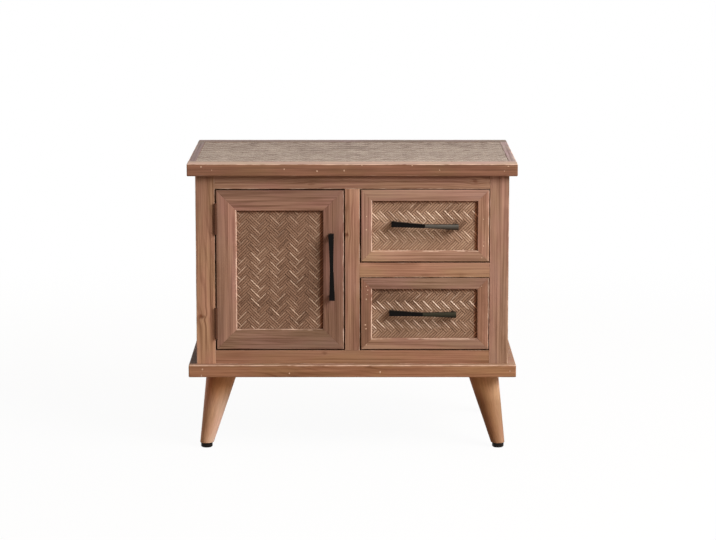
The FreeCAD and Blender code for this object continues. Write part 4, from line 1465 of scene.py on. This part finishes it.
@dataclass
class Herringbone:
    """Panel of herringbone slats on a dark core, in its own plane.

    The plane's first axis is the frame's X. Its second axis is Z on the fronts
    and Y on the table top. level is where the slats' backs lie on the third.
    """

    name: str
    node: str
    body: Body
    low: Pair
    high: Pair
    level: float
    core: Pair
    start: Pair
    upright_columns: bool
    flat: bool = False
    overlap: float = 1.0
    core_reach: float = 8.0
    slat_width: float = 13.72
    slat_length: float = 28.7
    strips: int = 3
    joint: float = 0.3
    rise: float = 1.5
    dip: float = 0.6
    ridge: float = 0.45
    lift: float = 0.14
    tilt: float = 0.01
    rising_wear: float = 0.5
    least_wear: float = 0.75
    most_wear: float = 1.2
    other_wear: float = 0.9
    slat_share: float = 0.4
    seed: int = 1

    def strip_mesh(self) -> Mesh:
        """Models one strip: crowned along its length, with rounded long edges.

        Returns:
            The strip's mesh, in metres, lying along X.
        """
        length = self.slat_length - self.joint
        width = self.slat_width / self.strips - self.joint
        # Profile of a strip: across, height and wear. The lower side, below 0, is darkened as dirt and
        # painted shade; the ridge, above 0, is paled as wear and painted highlight.
        profile = ((-0.5, 0.0, -1.0), (-0.5, 0.6, -1.0), (-0.3, 0.92, -0.45), (-0.08, 1.0, 0.0),
                   (0.13, 1.0, 0.8), (0.42, 0.95, 1.0), (0.5, 0.62, 0.6), (0.5, 0.0, -0.6))
        mould = Mould()
        rings = []
        for share, crown in ((0.0, 0.0), (0.14, 0.62), (0.5, 1.0), (0.86, 0.62), (1.0, 0.0)):
            ring = []
            for across, height, worn in profile:
                top = self.rise - self.dip * (1.0 - crown)
                place = Vector(((share - 0.5) * length, across * width, height * top))
                ring.append((place, place.copy(), worn if worn < 0.0 else worn * (0.4 + 0.6 * crown)))
            rings.append(ring)
        mould.loft(rings, Stain.BACK.value)
        return mould.mesh(self.name + ".strip")

    def reach(self, axis: int) -> Pair:
        """Gives the lowest and the highest place that the slats cover on an axis of the plane."""
        return self.low[axis] - self.overlap, self.high[axis] + self.overlap

    def row(self, axis: int, pitch: float) -> tuple[float, int]:
        """Counts the slats that it takes to cover the panel along an axis.

        Args:
            axis: number of the plane's axis.
            pitch: distance from one slat to the next.

        Returns:
            Place of the first slat, and how many there are.
        """
        low, high = self.reach(axis)
        first = self.start[axis] - pitch * math.ceil((self.start[axis] - low) / pitch + 0.6)
        return first, math.ceil((high - first) / pitch + 0.6) + 1

    def build(self, shop: Workshop, slats: Material) -> None:
        """Lays the slats, trims them to the panel and adds the core behind them.

        Args:
            shop: the finishes and trees.
            slats: finish of the slats.
        """
        pitches = self.slat_width * math.sqrt(2.0), self.slat_length * math.sqrt(2.0)
        pitch_x, pitch_y = reversed(pitches) if self.upright_columns else pitches
        first_x, columns = self.row(0, pitch_x)
        first_y, rows = self.row(1, pitch_y)
        made = shop.herringbone.run(self.name, self.strip_mesh(), {
            "Strips": self.strips, "Strip Width": self.slat_width / self.strips * MM,
            "Pitch X": pitch_x * MM, "Pitch Y": pitch_y * MM, "Columns": columns, "Rows": rows,
            "Ridge Lift": self.ridge * MM, "Lift Spread": self.lift * MM, "Tilt Spread": self.tilt,
            "Rising Wear": self.rising_wear, "Least Wear": self.least_wear, "Most Wear": self.most_wear,
            "Other Wear": self.other_wear, "Slat Share": self.slat_share, "Seed": self.seed,
            "Material": slats})
        middle_x = first_x + pitch_x * (columns - 1) / 2.0
        middle_y = first_y + pitch_y * (rows - 1) / 2.0
        made.transform(Matrix.Translation(Vector((middle_x, middle_y, 0.0)) * MM))
        self.trim(made)
        self.mark_corner(made)
        if self.flat:
            made.transform(Matrix.Translation((0.0, 0.0, self.level * MM)))
        else:
            upright = Matrix.Rotation(math.pi / 2.0, 4, "X")
            made.transform(Matrix.Translation((0.0, self.level * MM, 0.0)) @ upright)
        made.shade_smooth()
        made.set_sharp_from_angle(angle=math.radians(48.0))
        place_piece(self.name, made, self.body, [self.node])
        self.add_core(shop)

    def mark_corner(self, mesh: Mesh) -> None:
        """Stores how far each point lies from the right, the upper and the left edge.

        Args:
            mesh: mesh of the slats, lying in X and Y.
        """
        (left, _), (right, top) = self.low, self.high
        flat: list[float] = []
        for vertex in mesh.vertices:
            flat += [right * MM - vertex.co.x, top * MM - vertex.co.y, vertex.co.x - left * MM]
        mesh.attributes.new(Layer.CORNER.value, "FLOAT_VECTOR", "POINT").data.foreach_set("vector", flat)

    def trim(self, mesh: Mesh) -> None:
        """Cuts the slats off at the panel's edges and closes the cuts.

        Args:
            mesh: mesh of the slats, lying in X and Y.
        """
        shell = bmesh.new()
        shell.from_mesh(mesh)
        for axis in (0, 1):
            for value, sign in zip(self.reach(axis), (-1.0, 1.0)):
                point, normal = Vector((0.0, 0.0, 0.0)), Vector((0.0, 0.0, 0.0))
                point[axis], normal[axis] = value * MM, sign
                everything = shell.verts[:] + shell.edges[:] + shell.faces[:]
                bmesh.ops.bisect_plane(shell, geom=everything, plane_co=point, plane_no=normal,
                                       clear_outer=True, dist=1e-7)
                open_edges = [edge for edge in shell.edges if edge.is_boundary]
                bmesh.ops.holes_fill(shell, edges=open_edges, sides=0)
        bmesh.ops.recalc_face_normals(shell, faces=shell.faces)
        shell.to_mesh(mesh)
        shell.free()

    def add_core(self, shop: Workshop) -> None:
        """Adds the board that the slats are glued to, dark between them.

        Args:
            shop: the finishes and trees.
        """
        x0, y0 = (place - self.core_reach for place in self.low)
        x1, y1 = (place + self.core_reach for place in self.high)
        near, far = self.core
        section = [Corner(y0, near), Corner(y1, near), Corner(y1, far), Corner(y0, far)]
        board = Board(Axis.X, Axis.Y if self.flat else Axis.Z, (x0, x1), (x0, x1), section, Stain.BACK,
                      self.seed + 40, step=40.0, wave=0.0, chips=0)
        mould = Mould()
        board.add_to(mould)
        mesh = mould.mesh(self.name + "_core")
        mesh.materials.append(shop.ply)
        mesh.materials.append(shop.groove)
        face = Vector((0.0, 0.0, 1.0)) if self.flat else Vector((0.0, -1.0, 0.0))
        for polygon in mesh.polygons:
            if polygon.normal.dot(face) > 0.9:
                polygon.material_index = 1
        place_piece(self.name + "_core", mesh, self.body, [self.node])


@dataclass
class NailDots:
    """Spots of pale filler over nails, all on faces that look to the front."""

    name: str
    body: Body
    face: float
    spots: list[Pair]
    seed: int
    proud: float = 0.05
    smallest: float = 0.9
    largest: float = 2.1
    height: float = 0.3

    def build(self, shop: Workshop) -> None:
        """Sets the spots.

        Args:
            shop: the finishes and trees.
        """
        points = bpy.data.meshes.new(self.name + ".points")
        places = [Vector((x, self.face - self.proud, z)) * MM for x, z in self.spots]
        points.from_pydata([tuple(place) for place in places], [], [])
        made = shop.dots.run(self.name, points, {
            "Smallest Radius": self.smallest * MM, "Largest Radius": self.largest * MM,
            "Height": self.height * MM, "Seed": self.seed, "Material": shop.putty})
        made.shade_smooth()
        place_piece(self.name, made, self.body)


# ---- sub-assemblies ---------------------------------------------------------------
@dataclass
class TableTop:
    """Front and back board, narrow lipping at the sides, and a herringbone panel flush with them."""

    half_width: float = 343.0
    front: float = -221.0
    back: float = 236.0
    underside: float = 584.0
    height: float = 610.0
    member: float = 44.0
    lipping: float = 16.0
    ease: float = 2.0

    def section(self, outer: float, width: float) -> list[Corner]:
        """Gives the section of a board whose outer side is at a place across it."""
        inner = outer + width
        return [Corner(outer, self.underside, self.ease, 0.8), Corner(outer, self.height, self.ease, 1.5),
                Corner(inner, self.height, 0.4, 0.2), Corner(inner, self.underside, 0.4, 0.2)]

    def build(self, shop: Workshop) -> None:
        """Builds the boards, the panel and the filled nails.

        Args:
            shop: the finishes and trees.
        """
        x1, xi = self.half_width, self.half_width - self.lipping
        y0, y1 = self.front + self.member, self.back - self.member
        wide, deep = ((-x1, x1), (-x1, x1)), ((y0, y1), (y0, y1))
        boards = {
            "front": Board(Axis.X, Axis.Y, *wide, self.section(self.front, self.member), Stain.TOP_FRONT, 21,
                           self.ease, wave=0.1, chips=2, broken=0.4),
            "back": Board(Axis.X, Axis.Y, *wide, self.section(self.back, -self.member), Stain.TOP_BACK, 22,
                          self.ease),
            "left": Board(Axis.Y, Axis.X, *deep, self.section(-x1, self.lipping), Stain.TOP_LEFT, 23, 0.3),
            "right": Board(Axis.Y, Axis.X, *deep, self.section(x1, -self.lipping), Stain.TOP_RIGHT, 24, 0.3),
        }
        for name, board in boards.items():
            finish = shop.slab if name == "front" else shop.lipping
            board_piece(f"top_board_{name}", [board], Body.CABINET, finish, [f"top_frame_{name}"])
        gap = 0.3
        panel = Herringbone("top_slats", "top_herringbone_panel", Body.CABINET, (-xi + gap, y0 + gap),
                            (xi - gap, y1 - gap), self.height - 1.9, (self.underside, self.height - 1.7),
                            (0.0, 8.0), upright_columns=False, flat=True, overlap=0.0, core_reach=0.0,
                            rise=1.35, dip=0.5, ridge=0.3, lift=0.03, tilt=0.002, slat_width=14.0,
                            slat_share=0.2, seed=9)
        panel.build(shop, shop.top_slats)
        spots = [(-313.0, 604.0), (-291.0, 597.0), (-73.0, 595.0), (-17.0, 596.0), (20.0, 607.0),
                 (124.0, 606.5), (181.0, 597.0), (323.0, 605.0), (315.0, 595.0), (-141.0, 599.0)]
        NailDots("top_nail_dots", Body.CABINET, self.front, spots, 11).build(shop)


@dataclass
class FaceFrame:
    """Stiles and rails on the front of the carcass, and the hinge notches in one."""

    half_width: float = 326.5
    face: float = -204.5
    back: float = -184.5
    low: float = 186.0
    high: float = 584.0
    stile: float = 40.0
    middle: float = 15.5
    opening_low: float = 214.5
    opening_high: float = 555.5
    rail_low: float = 369.5
    rail_high: float = 400.5

    def member(self, along: Axis, ends: Pair, sides: Pair, radii: Pair, tone: Stain, seed: int,
               notches: tuple[Notch, ...] = ()) -> Board:
        """Makes a stile or a rail.

        Args:
            along: Axis.Z for a stile, and Axis.X for a rail.
            ends: lower and upper, or left and right end.
            sides: left and right, or lower and upper side.
            radii: rounding of the front arris at each side.
            tone: stain.
            seed: number of its random draws.
            notches: cylinders that it is cut back for.

        Returns:
            The board.
        """
        stile = along is Axis.Z
        wear = (1.0, 1.0) if stile else (1.3, 0.7)
        section = [Corner(side, self.face, radius, worn) for side, radius, worn in zip(sides, radii, wear)]
        section += [Corner(sides[1], self.back), Corner(sides[0], self.back)]
        across = Axis.X if stile else Axis.Z
        return Board(along, across, ends, ends, section, tone, seed, 0.3, notches=notches)

    def build(self, shop: Workshop, notches: tuple[Notch, ...]) -> None:
        """Builds the six pieces.

        Args:
            shop: the finishes and trees.
            notches: cylinders round the hinge barrels.
        """
        half, inner = self.half_width, self.half_width - self.stile
        joint, free, outer = 0.4, 1.0, 1.4
        opening, upper, lower = ((self.opening_low, self.opening_high), (self.opening_high, self.high),
                                 (self.low, self.opening_low))
        stile, rail, tall, wide = Axis.Z, Axis.X, (self.low, self.high), (-inner, inner)
        middle, between = (-self.middle, self.middle), (self.middle, inner)
        boards = {
            "stile_left": self.member(stile, tall, (-half, -inner), (outer, free), Stain.STILE_LEFT, 231,
                                      notches),
            "stile_right": self.member(stile, tall, (inner, half), (free, outer), Stain.STILE_RIGHT, 232),
            "stile_middle": self.member(stile, opening, middle, (free, free), Stain.STILE_MIDDLE, 333),
            "rail_top": self.member(rail, wide, upper, (free, joint), Stain.RAIL_TOP, 134),
            "rail_bottom": self.member(rail, wide, lower, (joint, free), Stain.RAIL_BOTTOM, 235),
            "rail_middle": self.member(rail, between, (self.rail_low, self.rail_high), (free, free),
                                       Stain.RAIL_MIDDLE, 136),
        }
        for name, board in boards.items():
            board_piece(f"face_{name}_board", [board], Body.CABINET, shop.face, [f"face_{name}"])


@dataclass
class BaseBoard:
    """Board between the carcass and the legs."""

    half_width: float = 343.0
    front: float = -221.0
    back: float = 236.0
    low: float = 160.0
    high: float = 186.0

    def build(self, shop: Workshop) -> None:
        """Builds the board and its filled nails.

        Args:
            shop: the finishes and trees.
        """
        section = [Corner(self.front, self.low, 1.8, 0.6), Corner(self.front, self.high, 1.8, 1.5),
                   Corner(self.back, self.high, 1.8), Corner(self.back, self.low, 1.8)]
        ends = (-self.half_width, self.half_width)
        board = Board(Axis.X, Axis.Y, ends, ends, section, Stain.BASE, 41, 2.0, wave=0.1, chips=2, broken=0.4)
        board_piece("base_board_dressed", [board], Body.CABINET, shop.foot_slab, ["base_board"])
        spots = [(-314.0, 177.0), (-316.0, 163.5), (-132.0, 168.5), (58.0, 171.0), (330.0, 173.0)]
        NailDots("base_nail_dots", Body.CABINET, self.front, spots, 12).build(shop)


# Painted shade on a leg's left side, painted light on its right side, and the tint of its foot.
LEG_SHADED_SIDE_TINT = (0.62, 0.52, 0.44)
LEG_LIT_SIDE_TINT = (1.2, 1.44, 1.68)
LEG_FOOT_TINT = (1.04, 1.14, 1.18)


@dataclass
class Leg:
    """Round tapered leg, splayed outwards to the side and to the front or back."""

    name: str
    side_x: float
    side_y: float
    seed: int
    tone: Stain
    # painted shade or painted light at the top of the leg, under the base board
    collar_shading: Triple
    top_x: float = 276.5
    top_y: float = 143.5
    middle_y: float = 7.5
    splay: float = 34.5
    top: float = 160.0
    foot: float = 10.0
    top_radius: float = 32.8
    foot_radius: float = 14.1
    around: int = 48
    rows: int = 24
    ease: float = 1.0

    def shade(self, place: Vector, foot: Vector, top: Vector) -> Colour:
        """Paints light and shade into the stain: painted shade on the left, painted light on the right, paler
        at the foot, and a collar of painted shade or light at the top.

        Args:
            place: a point of the surface.
            foot: the axis on the floor.
            top: the axis at the base board.

        Returns:
            The stain there.
        """
        share = place.z / self.top
        right = (place.x - foot.x - (top.x - foot.x) * share) / self.radius(share)
        rise = min(1.0, max(0.0, (place.z - 95.0) / 35.0))
        low = max(0.0, 1.0 - place.z / 34.0)
        colour = []
        for value, left, pale, collar_shading, end in zip(self.tone.value, LEG_SHADED_SIDE_TINT, LEG_LIT_SIDE_TINT, self.collar_shading,
                                                  LEG_FOOT_TINT):
            side = 1.0 + (left - 1.0) * max(0.0, -right) if right < 0.0 else 1.0 + (pale - 1.0) * right
            colour.append(value * side * (1.0 + (collar_shading - 1.0) * rise) * (1.0 + (end - 1.0) * low))
        return (colour[0], colour[1], colour[2], 1.0)

    def radius(self, share: float) -> float:
        """Gives the radius at a share of the way up from the floor."""
        slope = (self.top_radius - self.foot_radius) / (self.top - self.foot)
        return self.foot_radius + slope * (share * self.top - self.foot)

    def ring_point(self, axis_foot: Vector, axis_top: Vector, z: float, angle: float, drawn: float) -> Vector:
        """Finds where a level ray from the axis leaves the leg.

        Args:
            axis_foot: the axis on the floor.
            axis_top: the axis at the base board.
            z: height of the ray.
            angle: its direction.
            drawn: how far the surface is drawn in.

        Returns:
            The point.
        """
        line = axis_top - axis_foot
        centre = axis_foot + line * (z / self.top)
        ray = Vector((math.cos(angle), math.sin(angle), 0.0))
        reach = self.radius(z / self.top)
        for _ in range(8):
            point = centre + ray * reach
            share = (point - axis_foot).dot(line) / line.length_squared
            away = (point - axis_foot - line * share).length
            reach *= (self.radius(share) - drawn) / away
        return centre + ray * reach

    def build(self, shop: Workshop) -> None:
        """Builds the leg.

        Args:
            shop: the finishes and trees.
        """
        axis_top, axis_foot = (
            Vector((self.side_x * (self.top_x + out), self.middle_y + self.side_y * (self.top_y + out), z))
            for out, z in ((0.0, self.top), (self.splay, 0.0)))
        origin = grain_start(random.Random(self.seed), (0.0, -20.0, -20.0), (4000.0, 20.0, 20.0))
        levels = [(self.foot + past, drawn) for past, drawn in eased(self.ease)]
        start = self.foot + self.ease
        levels += [(start + step * (self.top - self.foot - self.ease) / self.rows, 0.0)
                   for step in range(1, self.rows + 1)]
        mould = Mould()
        rings = []
        for z, drawn in levels:
            centre = axis_foot + (axis_top - axis_foot) * (z / self.top)
            ring = []
            for step in range(self.around):
                angle = step / self.around * math.tau
                uneven = 0.15 * noise.noise(Vector((z / 40.0, math.cos(angle), math.sin(angle) + self.seed)))
                point = self.ring_point(axis_foot, axis_top, z, angle, drawn + uneven)
                away = point - centre
                ring.append((point, Vector((z, away.x, away.y)) + origin, 0.8 if drawn > 0 else 0.0))
            rings.append(ring)
        mould.loft(rings, self.tone.value)
        mould.stain = [self.shade(place / MM, axis_foot, axis_top) for place in mould.vertices]
        mesh = mould.mesh(f"{self.name}_turned")
        mesh.materials.append(shop.leg)
        place_piece(f"{self.name}_turned", mesh, Body.CABINET, [self.name])


# Wear of the outer and the inner arris of a front's boards, and the rounding of the inner one. The arrises
# that face the light, inside on the left and at the bottom and outside on the right, are paler: wear and
# painted highlight.
FRONT_WEAR_AND_HIGHLIGHT = {Side.LEFT: (0.5, 1.8, 2.2), Side.BOTTOM: (0.5, 1.25, 2.2), Side.RIGHT: (1.2, 0.3, 1.0),
              Side.TOP: (0.4, 0.3, 1.0)}


@dataclass
class Front:
    """Mitred frame of a door or drawer front round its recessed herringbone panel.

    tones are in the order of Side.
    """

    name: str
    body: Body
    low: Pair
    high: Pair
    member: float
    tones: tuple[Stain, ...]
    slat_start: Pair
    upright_columns: bool
    seed: int
    face: float = -206.0
    back: float = -188.0
    recess: float = 7.0
    rabbet: float = 8.0
    outer_ease: float = 1.5
    arris: float = 1.0

    def section(self, side: Side, outer: float, inwards: float) -> list[Corner]:
        """Gives the rabbeted section of a frame board, palest inside on the left and at the bottom, where
        wear and painted highlight pale the arrises that face the light.

        Args:
            side: which board it is.
            outer: place of its outer edge.
            inwards: direction from there to the panel.

        Returns:
            The section's corners.
        """
        inner = outer + inwards * self.member
        held = inner - inwards * self.rabbet
        floor = self.face + self.recess
        outer_wear_and_highlight, inner_wear_and_highlight, inner_ease = FRONT_WEAR_AND_HIGHLIGHT[side]
        return [Corner(outer, self.face, self.outer_ease, outer_wear_and_highlight),
                Corner(inner, self.face, inner_ease, inner_wear_and_highlight * self.arris),
                Corner(inner, floor, 0.2, 0.1), Corner(held, floor, 0.2, 0.0),
                Corner(held, self.back, 0.4, 0.2), Corner(outer, self.back, 0.8, 0.5)]

    def member_board(self, side: Side, notches: tuple[Notch, ...] = ()) -> Board:
        """Makes one mitred board of the frame.

        Args:
            side: its side.
            notches: cylinders that it is cut back for.

        Returns:
            The board.
        """
        standing = side in (Side.LEFT, Side.RIGHT)
        own, other = (0, 1) if standing else (1, 0)
        axes = (Axis.Z, Axis.X) if standing else (Axis.X, Axis.Z)
        ends = [(self.low[other], self.high[other]),
                (self.low[other] + self.member, self.high[other] - self.member)]
        outer, inwards = self.low[own], 1.0
        if side in (Side.RIGHT, Side.TOP):
            ends.reverse()
            outer, inwards = self.high[own], -1.0
        number = list(Side).index(side)
        return Board(*axes, *ends, self.section(side, outer, inwards), self.tones[number], self.seed + number,
                     notches=notches)

    def panel(self, node: str) -> Herringbone:
        """Describes the herringbone panel.

        Args:
            node: the frame node that it stands for.

        Returns:
            The panel.
        """
        low = (self.low[0] + self.member, self.low[1] + self.member)
        high = (self.high[0] - self.member, self.high[1] - self.member)
        level = self.face + self.recess
        rising, least, other = (0.85, 0.6, 0.4) if self.upright_columns else (0.5, 0.8, 0.6)
        return Herringbone(f"{self.name}_slats", node, self.body, low, high, level + 0.4,
                           (level + 0.2, self.back), self.slat_start, self.upright_columns,
                           rising_wear=rising, least_wear=least, other_wear=other, seed=self.seed + 7)


@dataclass
class Door:
    """Hinged door: frame, panel and pull; its hinge leaves and strike plate keep the frame's nodes."""

    front: Front = field(default_factory=lambda: Front(
        "door", Body.DOOR, (-284.0, 217.0), (-18.0, 553.0), 43.0,
        (Stain.DOOR_LEFT, Stain.DOOR_RIGHT, Stain.DOOR_BOTTOM, Stain.DOOR_TOP), (-206.7, 428.0), True, 51,
        arris=0.75))

    def build(self, shop: Workshop, notches: tuple[Notch, ...]) -> None:
        """Builds the door.

        Args:
            shop: the finishes and trees.
            notches: cylinders round the hinge barrels.
        """
        for side, name in zip(Side, ("stile_left", "stile_right", "rail_bottom", "rail_top")):
            board = self.front.member_board(side, notches if side is Side.LEFT else ())
            board_piece(f"door_{name}_board", [board], Body.DOOR, shop.front, [f"door_{name}"])
        self.front.panel("door_herringbone_panel").build(shop, shop.door_slats)
        softened_copy("door_handle", "door_pull", Body.DOOR, shop.door_black)


@dataclass
class Drawer:
    """Sliding drawer: frame, panel, pull and filled nails; its box keeps the frame's nodes."""

    name: str
    body: Body
    heights: Pair
    tones: tuple[Stain, ...]
    slat_start: Pair
    seed: int
    dots: list[Pair]
    sides: Pair = (18.0, 285.0)
    member: float = 23.5

    def build(self, shop: Workshop, slats: Material, black: Material) -> None:
        """Builds the drawer's front.

        Args:
            shop: the finishes and trees.
            slats: finish of the slats.
            black: finish of the pull.
        """
        low, high = zip(self.sides, self.heights)
        front = Front(self.name, self.body, low, high, self.member, self.tones, self.slat_start, False,
                      self.seed)
        for kind, sides in (("rails", (Side.TOP, Side.BOTTOM)), ("stiles", (Side.LEFT, Side.RIGHT))):
            boards = [front.member_board(side) for side in sides]
            board_piece(f"{self.name}_{kind}_boards", boards, self.body, shop.front,
                        [f"{self.name}_frame_{kind}"])
        front.panel(f"{self.name}_herringbone_panel").build(shop, slats)
        softened_copy(f"{self.name}_handle", f"{self.name}_pull", self.body, black)
        NailDots(f"{self.name}_nail_dots", self.body, front.face, self.dots, self.seed).build(shop)


@dataclass
class Carcass:
    """Sides, back, inside and hardware, which keep the frame's own nodes."""

    barrel_x: float = -285.25
    barrel_y: float = -207.5
    barrel_clearance: float = 3.3
    barrel_length: float = 65.0
    barrel_middles: Pair = (272.0, 493.0)

    def notches(self) -> tuple[Notch, ...]:
        """Gives the cylinders that the boards beside the hinges are cut back for."""
        half = self.barrel_length / 2.0 + 0.3
        return tuple(Notch(self.barrel_x, self.barrel_y, self.barrel_clearance, middle - half, middle + half)
                     for middle in self.barrel_middles)

    def dress(self, shop: Workshop) -> None:
        """Gives every node that still shows its finish.

        Args:
            shop: the finishes and trees.
        """
        endings = (
            (("side_panel_left", "side_panel_right"), shop.side),
            (("back_panel",), shop.back),
            (("divider_panel", "shelf", "top_cleats", "_drawer_runners"), shop.inner),
            (("_drawer_sides",), shop.box),
            (("_drawer_box_front", "_drawer_back"), shop.box_end),
            (("_drawer_bottom",), shop.ply),
            (("hinge_frame_leaves", "hinge_door_leaves", "hinge_pins"), shop.hinge),
            (("_screws", "shelf_pins", "leg_hanger_bolts", "door_strike_plate"), shop.zinc),
            (("leg_inserts",), shop.brass),
            (("leg_glides",), shop.glide),
            (("magnetic_catch",), shop.catch),
        )
        for name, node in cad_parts.items():
            finish = next((own for tails, own in endings if name.endswith(tails)), None)
            if finish is not None:
                node.data.materials.clear()
                node.data.materials.append(finish)
                LOG.info("%s keeps its node, in %s", name, finish.name)


# ---- studio -----------------------------------------------------------------------
@dataclass
class Lamp:
    """Square soft light that looks at a point."""

    name: str
    place: Triple
    size: float
    power: float
    colour: Triple
    target: Triple = (0.0, 0.0, 0.35)

    def build(self) -> None:
        """Adds the lamp."""
        light = bpy.data.lights.new(self.name, "AREA")
        light.size = self.size
        light.energy = self.power
        light.color = self.colour
        lamp = bpy.data.objects.new(self.name, light)
        lamp.visible_camera = False
        lamp.location = self.place
        lamp.rotation_euler = (Vector(self.target) - Vector(self.place)).to_track_quat("-Z", "Y").to_euler()
        bpy.context.scene.collection.objects.link(lamp)


@dataclass
class Studio:
    """White floor and backdrop, soft lamps and the camera."""

    camera_place: Triple = (0.009, -5.810, 1.275)
    camera_pitch: float = 9.02
    camera_yaw: float = 0.03
    lens: float = 136.66
    floor_half: float = 14.0
    wall: float = 9.0
    wall_height: float = 6.0
    bend: float = 1.2
    bend_steps: int = 12
    glow: float = 0.95
    bounce: float = 0.36
    fill: float = 0.43
    fill_tint: Pair = (0.81, 0.66)

    def build(self) -> None:
        """Builds the studio."""
        self.add_backdrop()
        self.add_world()
        sunny, warm = (1.0, 0.985, 0.96), (1.0, 0.97, 0.93)
        for lamp in (Lamp("key", (2.9, -2.7, 2.7), 2.4, 192.0, sunny),
                     Lamp("kicker", (3.2, -1.0, 2.6), 1.2, 30.0, sunny),
                     Lamp("rear", (0.0, 3.8, 0.35), 0.5, 48.0, warm),
                     Lamp("side", (-3.0, 2.2, 0.35), 0.5, 45.0, warm)):
            lamp.build()
        self.add_camera()

    def add_backdrop(self) -> None:
        """Adds the floor, which bends up into a wall behind the table."""
        profile = [(-self.floor_half, 0.0), (self.wall - self.bend, 0.0)]
        for step in range(1, self.bend_steps + 1):
            angle = step / self.bend_steps * math.pi / 2.0
            profile.append((self.wall - self.bend + self.bend * math.sin(angle),
                            self.bend - self.bend * math.cos(angle)))
        profile.append((self.wall, self.wall_height))
        vertices, faces = [], []
        for y, z in profile:
            vertices += [(-self.floor_half, y, z), (self.floor_half, y, z)]
        for row in range(len(profile) - 1):
            faces.append((2 * row, 2 * row + 1, 2 * row + 3, 2 * row + 2))
        mesh = bpy.data.meshes.new("backdrop")
        mesh.from_pydata(vertices, [], faces)
        mesh.shade_smooth()
        mesh.materials.append(self.backdrop_finish())
        backdrop = bpy.data.objects.new("backdrop", mesh)
        bpy.context.scene.collection.objects.link(backdrop)

    def backdrop_finish(self) -> Material:
        """Builds a pale paper that reads as white and keeps a soft shadow.

        Returns:
            The material.
        """
        sheet = Surface("studio_paper")
        x, y, _ = sheet.parts(sheet.coordinate())
        away = sheet.math("SQRT", sheet.squares(x, y))
        seen = self.seen(sheet)
        shades = [sheet.times(seen, 0.86 - self.bounce * part, self.bounce * part)
                  for part in (1.0, *self.fill_tint)]
        paper = sheet.made("ShaderNodeBsdfDiffuse", {"Color": sheet.vector(*shades)})
        glow = sheet.made("ShaderNodeEmission", {"Color": (1.0, 1.0, 1.0, 1.0), "Strength": 1.0})
        share = sheet.times(seen, sheet.spread(away, 1.2, 2.6, self.glow, 1.0))
        mixed = sheet.made("ShaderNodeMixShader", {0: share, 1: paper, 2: glow})
        sheet.node("ShaderNodeOutputMaterial", {"Surface": mixed})
        return sheet.material

    @staticmethod
    def seen(net: Net) -> Socket:
        """Tells the rays that show the background itself: straight, mirrored or through glass.

        Args:
            net: the tree.

        Returns:
            1 for these rays, and 0 for others.
        """
        paths = net.node("ShaderNodeLightPath", {}).outputs
        straight = net.math("MAXIMUM", paths["Is Camera Ray"], paths["Is Glossy Ray"])
        return net.math("MAXIMUM", straight, paths["Is Transmission Ray"])

    def add_world(self) -> None:
        """Adds an even dim surround, white only where it is seen itself."""
        world = bpy.data.worlds.new("studio_air")
        world.use_nodes = True
        net = Net(world.node_tree)
        net.tree.nodes.clear()
        seen = self.seen(net)
        right = net.parts(net.node("ShaderNodeTexCoord", {}).outputs["Generated"])[0]
        fill = net.times(right, 0.35 * self.fill, self.fill)
        strength = net.times(seen, net.minus(1.0, fill), fill)
        green, blue = (net.times(seen, 1.0 - part, part) for part in self.fill_tint)
        inputs = {"Color": net.vector(1.0, green, blue), "Strength": strength}
        net.node("ShaderNodeOutputWorld", {"Surface": net.made("ShaderNodeBackground", inputs)})
        bpy.context.scene.world = world

    def add_camera(self) -> None:
        """Adds the camera."""
        data = bpy.data.cameras.new("camera")
        data.lens = self.lens
        data.sensor_width = 36.0
        camera = bpy.data.objects.new("camera", data)
        camera.location = self.camera_place
        camera.rotation_euler = (math.radians(90.0 - self.camera_pitch), 0.0, math.radians(-self.camera_yaw))
        bpy.context.scene.collection.objects.link(camera)
        bpy.context.scene.camera = camera


def main() -> None:
    """Builds the table and its studio."""
    logging.basicConfig(level=logging.INFO, format="%(name)s: %(message)s")
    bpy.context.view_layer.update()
    bpy.context.scene.view_settings.view_transform = "Standard"
    shop = Workshop()
    carcass = Carcass()
    notches = carcass.notches()
    carcass.dress(shop)
    TableTop().build(shop)
    FaceFrame().build(shop, notches)
    BaseBoard().build(shop)
    # Painted shade and painted light for the collar at the top of the legs, under the base board.
    dark, light = (1.05, 0.87, 0.67), (1.78, 1.92, 1.95)
    for leg in (Leg("leg_front_left", -1.0, -1.0, 61, Stain.LEG_LEFT, dark),
                Leg("leg_front_right", 1.0, -1.0, 62, Stain.LEG_RIGHT, light),
                Leg("leg_back_left", -1.0, 1.0, 63, Stain.LEG_RIGHT, dark),
                Leg("leg_back_right", 1.0, 1.0, 64, Stain.LEG_LEFT, dark)):
        leg.build(shop)
    Door().build(shop, notches)
    upper = Drawer("upper_drawer", Body.UPPER_DRAWER, (403.0, 554.0),
                   (Stain.UPPER_LEFT, Stain.UPPER_RIGHT, Stain.UPPER_BOTTOM, Stain.UPPER_TOP),
                   (61.5, 496.0), 71, [(29.5, 498.0), (29.5, 412.5), (273.0, 492.0), (274.0, 444.5),
                                       (273.5, 436.0), (270.0, 411.0), (29.0, 470.0)])
    upper.build(shop, shop.upper_slats, shop.upper_black)
    lower = Drawer("lower_drawer", Body.LOWER_DRAWER, (217.0, 368.0),
                   (Stain.LOWER_LEFT, Stain.LOWER_RIGHT, Stain.LOWER_BOTTOM, Stain.LOWER_TOP),
                   (56.0, 306.0), 81, [(29.0, 350.5), (32.0, 342.5), (31.0, 333.5), (29.0, 323.0),
                                       (27.0, 269.0), (28.5, 260.5), (29.0, 226.5), (270.0, 351.0)])
    lower.build(shop, shop.lower_slats, shop.lower_black)
    Studio().build()


if __name__ == "__main__":
    main()
